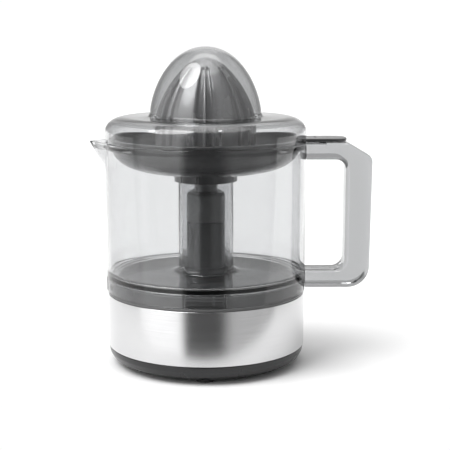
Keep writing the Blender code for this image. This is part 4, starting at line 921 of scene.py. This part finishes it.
sieve_run = rounded(
    [
        (FLANGE, FLANGE_TOP, 0.0009),
        (FLANGE, FLANGE_UNDER, 0.0005),
        (BOWL, FLANGE_UNDER, 0.0003),
        *[tuple(point) for point in bowl_curve(BOWL, BOWL_BOTTOM)],
        (RING_OUTER, BOWL_BOTTOM, 0.0008),
        (RING_OUTER, RING_LOW, 0.0005),
        (RING_INNER, RING_LOW, 0.0005),
        (RING_INNER, BOWL_BOTTOM, 0.0005),
        (HUB_INNER, BOWL_BOTTOM, 0.0008),
        (HUB_INNER, HUB_TOP, 0.0007),
        (HUB_OUTER, HUB_TOP, 0.0007),
        (HUB_OUTER + 0.0004, BOWL_FLOOR, 0.002),
        *[tuple(point) for point in reversed(bowl_curve(BOWL - BOWL_WALL, BOWL_FLOOR))],
        (BOWL - BOWL_WALL, FLANGE_TOP, 0.0009),
    ],
    4,
)
sieve = turned("sieve_bowl", sieve_run, 256)
slots = []
for i in range(SLOTS):
    end = SLOT_SHORT if i % 2 else SLOT_LONG
    low = (AXIS + SLOT_START, -SLOT_HALF, BOWL_BOTTOM - 0.01)
    high = (AXIS + end, SLOT_HALF, BOWL_FLOOR + 0.012)
    slots.append(spun(block("slot", low, high, 0.0004), (i + 0.5) * 360 / SLOTS))
for bearing in SPLIT_BEARINGS:
    low = (AXIS + RING_INNER - 0.001, -SLOT_HALF, RING_LOW - 0.001)
    high = (AXIS + RING_OUTER + 0.001, SLOT_HALF, BOWL_BOTTOM - 0.0009)
    slots.append(spun(block("split", low, high, 0.0003), bearing))
cut(sieve, joined(slots))

TAB_HALF = 0.014
TAB_END = sieve_high.x - AXIS
tab_run = rounded(
    [
        (FLANGE - 0.004, -TAB_HALF),
        (TAB_END - 0.003, -TAB_HALF, 0.008),
        (TAB_END, 0.0, 0.05),
        (TAB_END - 0.003, TAB_HALF, 0.008),
        (FLANGE - 0.004, TAB_HALF),
    ],
    12,
)
tab = drawn("tab", tab_run)
bpy.ops.mesh.edge_face_add()
thickness = FLANGE_TOP - FLANGE_UNDER
bpy.ops.mesh.extrude_region_move(TRANSFORM_OT_translate={"value": (0, thickness, 0)})
leave_edit()
settle(tab)
tab.data.transform(Matrix.Translation((-AXIS, 0, 0)))
tab.data.transform(Matrix.Rotation(math.pi / 2, 4, "X"))
tab.data.transform(Matrix.Translation((AXIS, 0, FLANGE_UNDER)))


def softened(piece, width, segments=3, degrees=50):
    """Rounds every edge sharper than this."""
    deselect()
    piece.select_set(True)
    bpy.context.view_layer.objects.active = piece
    edit()
    bpy.ops.mesh.normals_make_consistent(inside=False)
    leave_edit()
    change = piece.modifiers.new("edges", "BEVEL")
    change.width = width
    change.segments = segments
    change.limit_method = "ANGLE"
    change.angle_limit = math.radians(degrees)
    bpy.ops.object.modifier_apply(modifier="edges")
    smooth(piece)
    return piece


softened(tab, 0.0006)
key = block(
    "key",
    (AXIS + JUG_RADIUS + 0.001, -KEY_HALF, JUG_RIM - KEY_DEPTH),
    (AXIS + JUG_RADIUS + 0.001 + KEY_LENGTH, KEY_HALF, FLANGE_UNDER + 0.001),
    0.0005,
)
cut(tab, key, "UNION")
low = (AXIS + FLANGE + 0.009, -0.0055, FLANGE_TOP - 0.0004)
high = (AXIS + FLANGE + 0.0105, 0.0055, FLANGE_TOP + 0.002)
cut(tab, block("tab_line", low, high, 0.0003))
cut(sieve, tab, "UNION")
smoke = moulded(
    "smoked_plastic", (0.04, 0.04, 0.041), (0.065, 0.065, 0.067), 0.16, 2.5e-5, ior=1.6
)
finished(sieve, smoke, "smoked_plastic", "strainer", "strainer", "clip_ring")

# ---- Small cone --------------------------------------------------------------------------------
# The reamer for lemons and limes: eight deep flutes, a round bore that clears the sieve's hub, and
# a six-sided socket that takes the drive head.

small_low, small_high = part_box("small_cone")
SMALL_CONE = small_high.y
SMALL_FOOT, SMALL_TOP = small_low.z, small_high.z
FLUTES = 8
FLUTE_DEPTH = 0.003


def dome_curve(radius, low, high, steps=28):
    return curve(
        (radius, low),
        (0.905 * radius, low + 0.43 * (high - low)),
        (0.43 * radius, high),
        (0.0, high),
        steps,
    )


def ease(share):
    share = min(1.0, max(0.0, share))
    return share * share * (3 - 2 * share)


def flute(piece, inner, depth, half, slope, rib, fade):
    """Presses grooves into a turned shape outside the inner radius. Angles are in degrees."""
    for point in piece.data.vertices:
        place = Vector((point.co.x - AXIS, point.co.y))
        if place.length < 1e-5 or inner(point.co.z) > place.length:
            continue
        bearing = math.degrees(math.atan2(place.y, place.x))
        pitch = 360 / FLUTES
        off = abs((bearing + pitch / 2) % pitch - pitch / 2)
        share = ease((half - off) / slope)
        if rib:
            share -= 0.8 * ease((rib - off) / (0.6 * rib))
        reach = place.length - depth * max(0.0, share) * fade(point.co.z)
        place = place.normalized() * reach
        point.co.x, point.co.y = AXIS + place.x, place.y
    piece.data.update()


SMALL_BORE = 0.0138
SMALL_RISE = SMALL_FOOT + 0.0244
small_cone = turned(
    "small_reamer",
    [
        Vector((0, HUB_TOP + 0.001)),
        Vector((SMALL_BORE, HUB_TOP + 0.001)),
        Vector((SMALL_BORE, SMALL_FOOT)),
        Vector((SMALL_CONE - 0.0006, SMALL_FOOT)),
        Vector((SMALL_CONE, SMALL_FOOT + 0.0006)),
        *[Vector((SMALL_CONE, SMALL_FOOT + 0.0012 + k * 0.0015)) for k in range(15)],
        *dome_curve(SMALL_CONE, SMALL_RISE, SMALL_TOP),
    ],
    192,
    False,
)


def small_fade(height):
    return ease((SMALL_TOP - 0.0025 - height) / 0.007)


def small_wall(height):
    """Just outside the bore's surface at a height."""
    return SMALL_BORE + 0.0005 if height < HUB_TOP + 0.002 else 0


flute(small_cone, small_wall, FLUTE_DEPTH, 15, 6, 0, small_fade)
HEX_BORE = 0.0079
deselect()
bpy.ops.mesh.primitive_cylinder_add(
    vertices=6, radius=HEX_BORE, depth=0.0254, location=(AXIS, 0, HUB_TOP - 0.001 + 0.0127)
)
socket = bpy.context.object
settle(socket)
cut(small_cone, socket)
finished(small_cone, smoke, "smoked_plastic", "small_cone", "small_cone")

# ---- Large cone --------------------------------------------------------------------------------
# The reamer for oranges drops over the small one. It is hollow, with eight broad lobes between
# shallow grooves. A thin rib runs up the middle of each groove, and four ribs inside key the cones.

large_low, large_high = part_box("large_cone")
CONE_FOOT, CONE_TOP = large_low.z, large_high.z
CONE_SKIRT = (large_high.y - large_low.y) / 2
CONE_DOME = CONE_SKIRT - 0.0006
CONE_SHOULDER = CONE_FOOT + 0.0345
CONE_INNER = CONE_SKIRT - 0.0056
CONE_CAP = CONE_TOP - 0.0062
large_run = [
    *reversed(dome_curve(CONE_INNER - 0.0006, CONE_SHOULDER - 0.004, CONE_TOP - 0.004)),
    Vector((CONE_INNER, CONE_SHOULDER - 0.006)),
    Vector((CONE_INNER, CONE_FOOT)),
    Vector((CONE_SKIRT - 0.0006, CONE_FOOT)),
    Vector((CONE_SKIRT, CONE_FOOT + 0.0006)),
    *[Vector((CONE_SKIRT, CONE_FOOT + 0.002 + k * 0.002)) for k in range(15)],
    *dome_curve(CONE_DOME, CONE_SHOULDER, CONE_TOP, 72),
]
large_cone = turned("large_reamer", large_run, 288, False)


def large_fade(height):
    return ease((height - CONE_FOOT - 0.006) / 0.01) * ease((CONE_CAP - height) / 0.003)


def large_wall(height):
    """Just outside the hollow's surface at a height."""
    run = [point for point in large_run[:31] if point.y >= height]
    return run[-1].x + 0.0015 if run else 0.0


flute(large_cone, large_wall, FLUTE_DEPTH, 12.0, 4.0, 2.4, large_fade)
for i in range(4):
    low = (AXIS + SMALL_CONE - 0.0018, -0.0012, CONE_FOOT + 0.006)
    high = (AXIS + CONE_INNER + 0.001, 0.0012, SMALL_FOOT + 0.029)
    cut(large_cone, spun(block("key_rib", low, high, 0.0003), i * 90), "UNION")
cone_grey = moulded("cone_grey", (0.13, 0.13, 0.132), (0.18, 0.18, 0.183), 0.2, 2.5e-5, ior=2.1)
finished(large_cone, cone_grey, "smoked_plastic", "large_cone", "large_cone")

# ---- Dust cover --------------------------------------------------------------------------------
# One clear moulding covers the bowl and the cone: a wide ring with a round shoulder, a flat, and
# a tall dome. A notch in its edge clears the tab, and a short rib inside its wall stops it turning.

cover_low, cover_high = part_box("dust_cover")
COVER_SIDE = 0.007
COVER_FLAT = cover_low.z + 0.0188
COVER_DOME = 0.0434
COVER_WALL = 0.002


def cover_run(inset):
    side = cover_high.y - inset
    flat = COVER_FLAT - inset
    dome = COVER_DOME - inset
    top = cover_high.z - inset
    low = cover_low.z + COVER_SIDE
    shoulder = curve((side, low), (side, low + 0.0073), (0.071 - inset, flat), (0.0625, flat), 24)
    foot = curve(
        (dome + 0.0028, flat), (dome + 0.0012, flat), (dome, flat + 0.0012), (dome, flat + 0.004), 6
    )
    hood = curve(
        (dome, flat + 0.004),
        (dome - 0.0035, flat + 0.54 * (top - flat)),
        (0.553 * dome, top),
        (0, top),
        48,
    )
    return [Vector((side, cover_low.z)), *shoulder, *foot[:-1], *hood]


outside, inside = cover_run(0), cover_run(COVER_WALL)
cover = turned("cover_shell", list(reversed(inside)) + outside, 256, False)
low = (AXIS + JUG_RADIUS - 0.010, -TAB_HALF - 0.0006, cover_low.z - 0.001)
high = (AXIS + JUG_RADIUS + 0.002, TAB_HALF + 0.0006, FLANGE_TOP + 0.0003)
cut(cover, block("notch", low, high, 0.0003))
STOP_BEARING = 278.8
low = (AXIS + cover_high.y - COVER_WALL - 0.0014, -0.0011, cover_low.z + 0.0034)
high = (AXIS + cover_high.y - 0.0012, 0.0011, cover_low.z + 0.0150)
stop = block("stop", low, high, 0.0004)
for point in stop.data.vertices:
    rise = (point.co.z - low[2]) / (high[2] - low[2])
    point.co.y *= 0.55 + 0.9 * rise
    point.co.x -= 0.0035 * max(0.0, rise - 0.4) ** 2
cut(cover, spun(stop, STOP_BEARING), "UNION")
# The second colour is the edge colour: partly absorption, partly painted shade that draws dark
# outlines.
clear_cover = clear_plastic("clear_cover", (0.80, 0.805, 0.81), (0.42, 0.425, 0.43))
finished(cover, clear_cover, "clear_plastic", "dust_cover", "dust_cover")
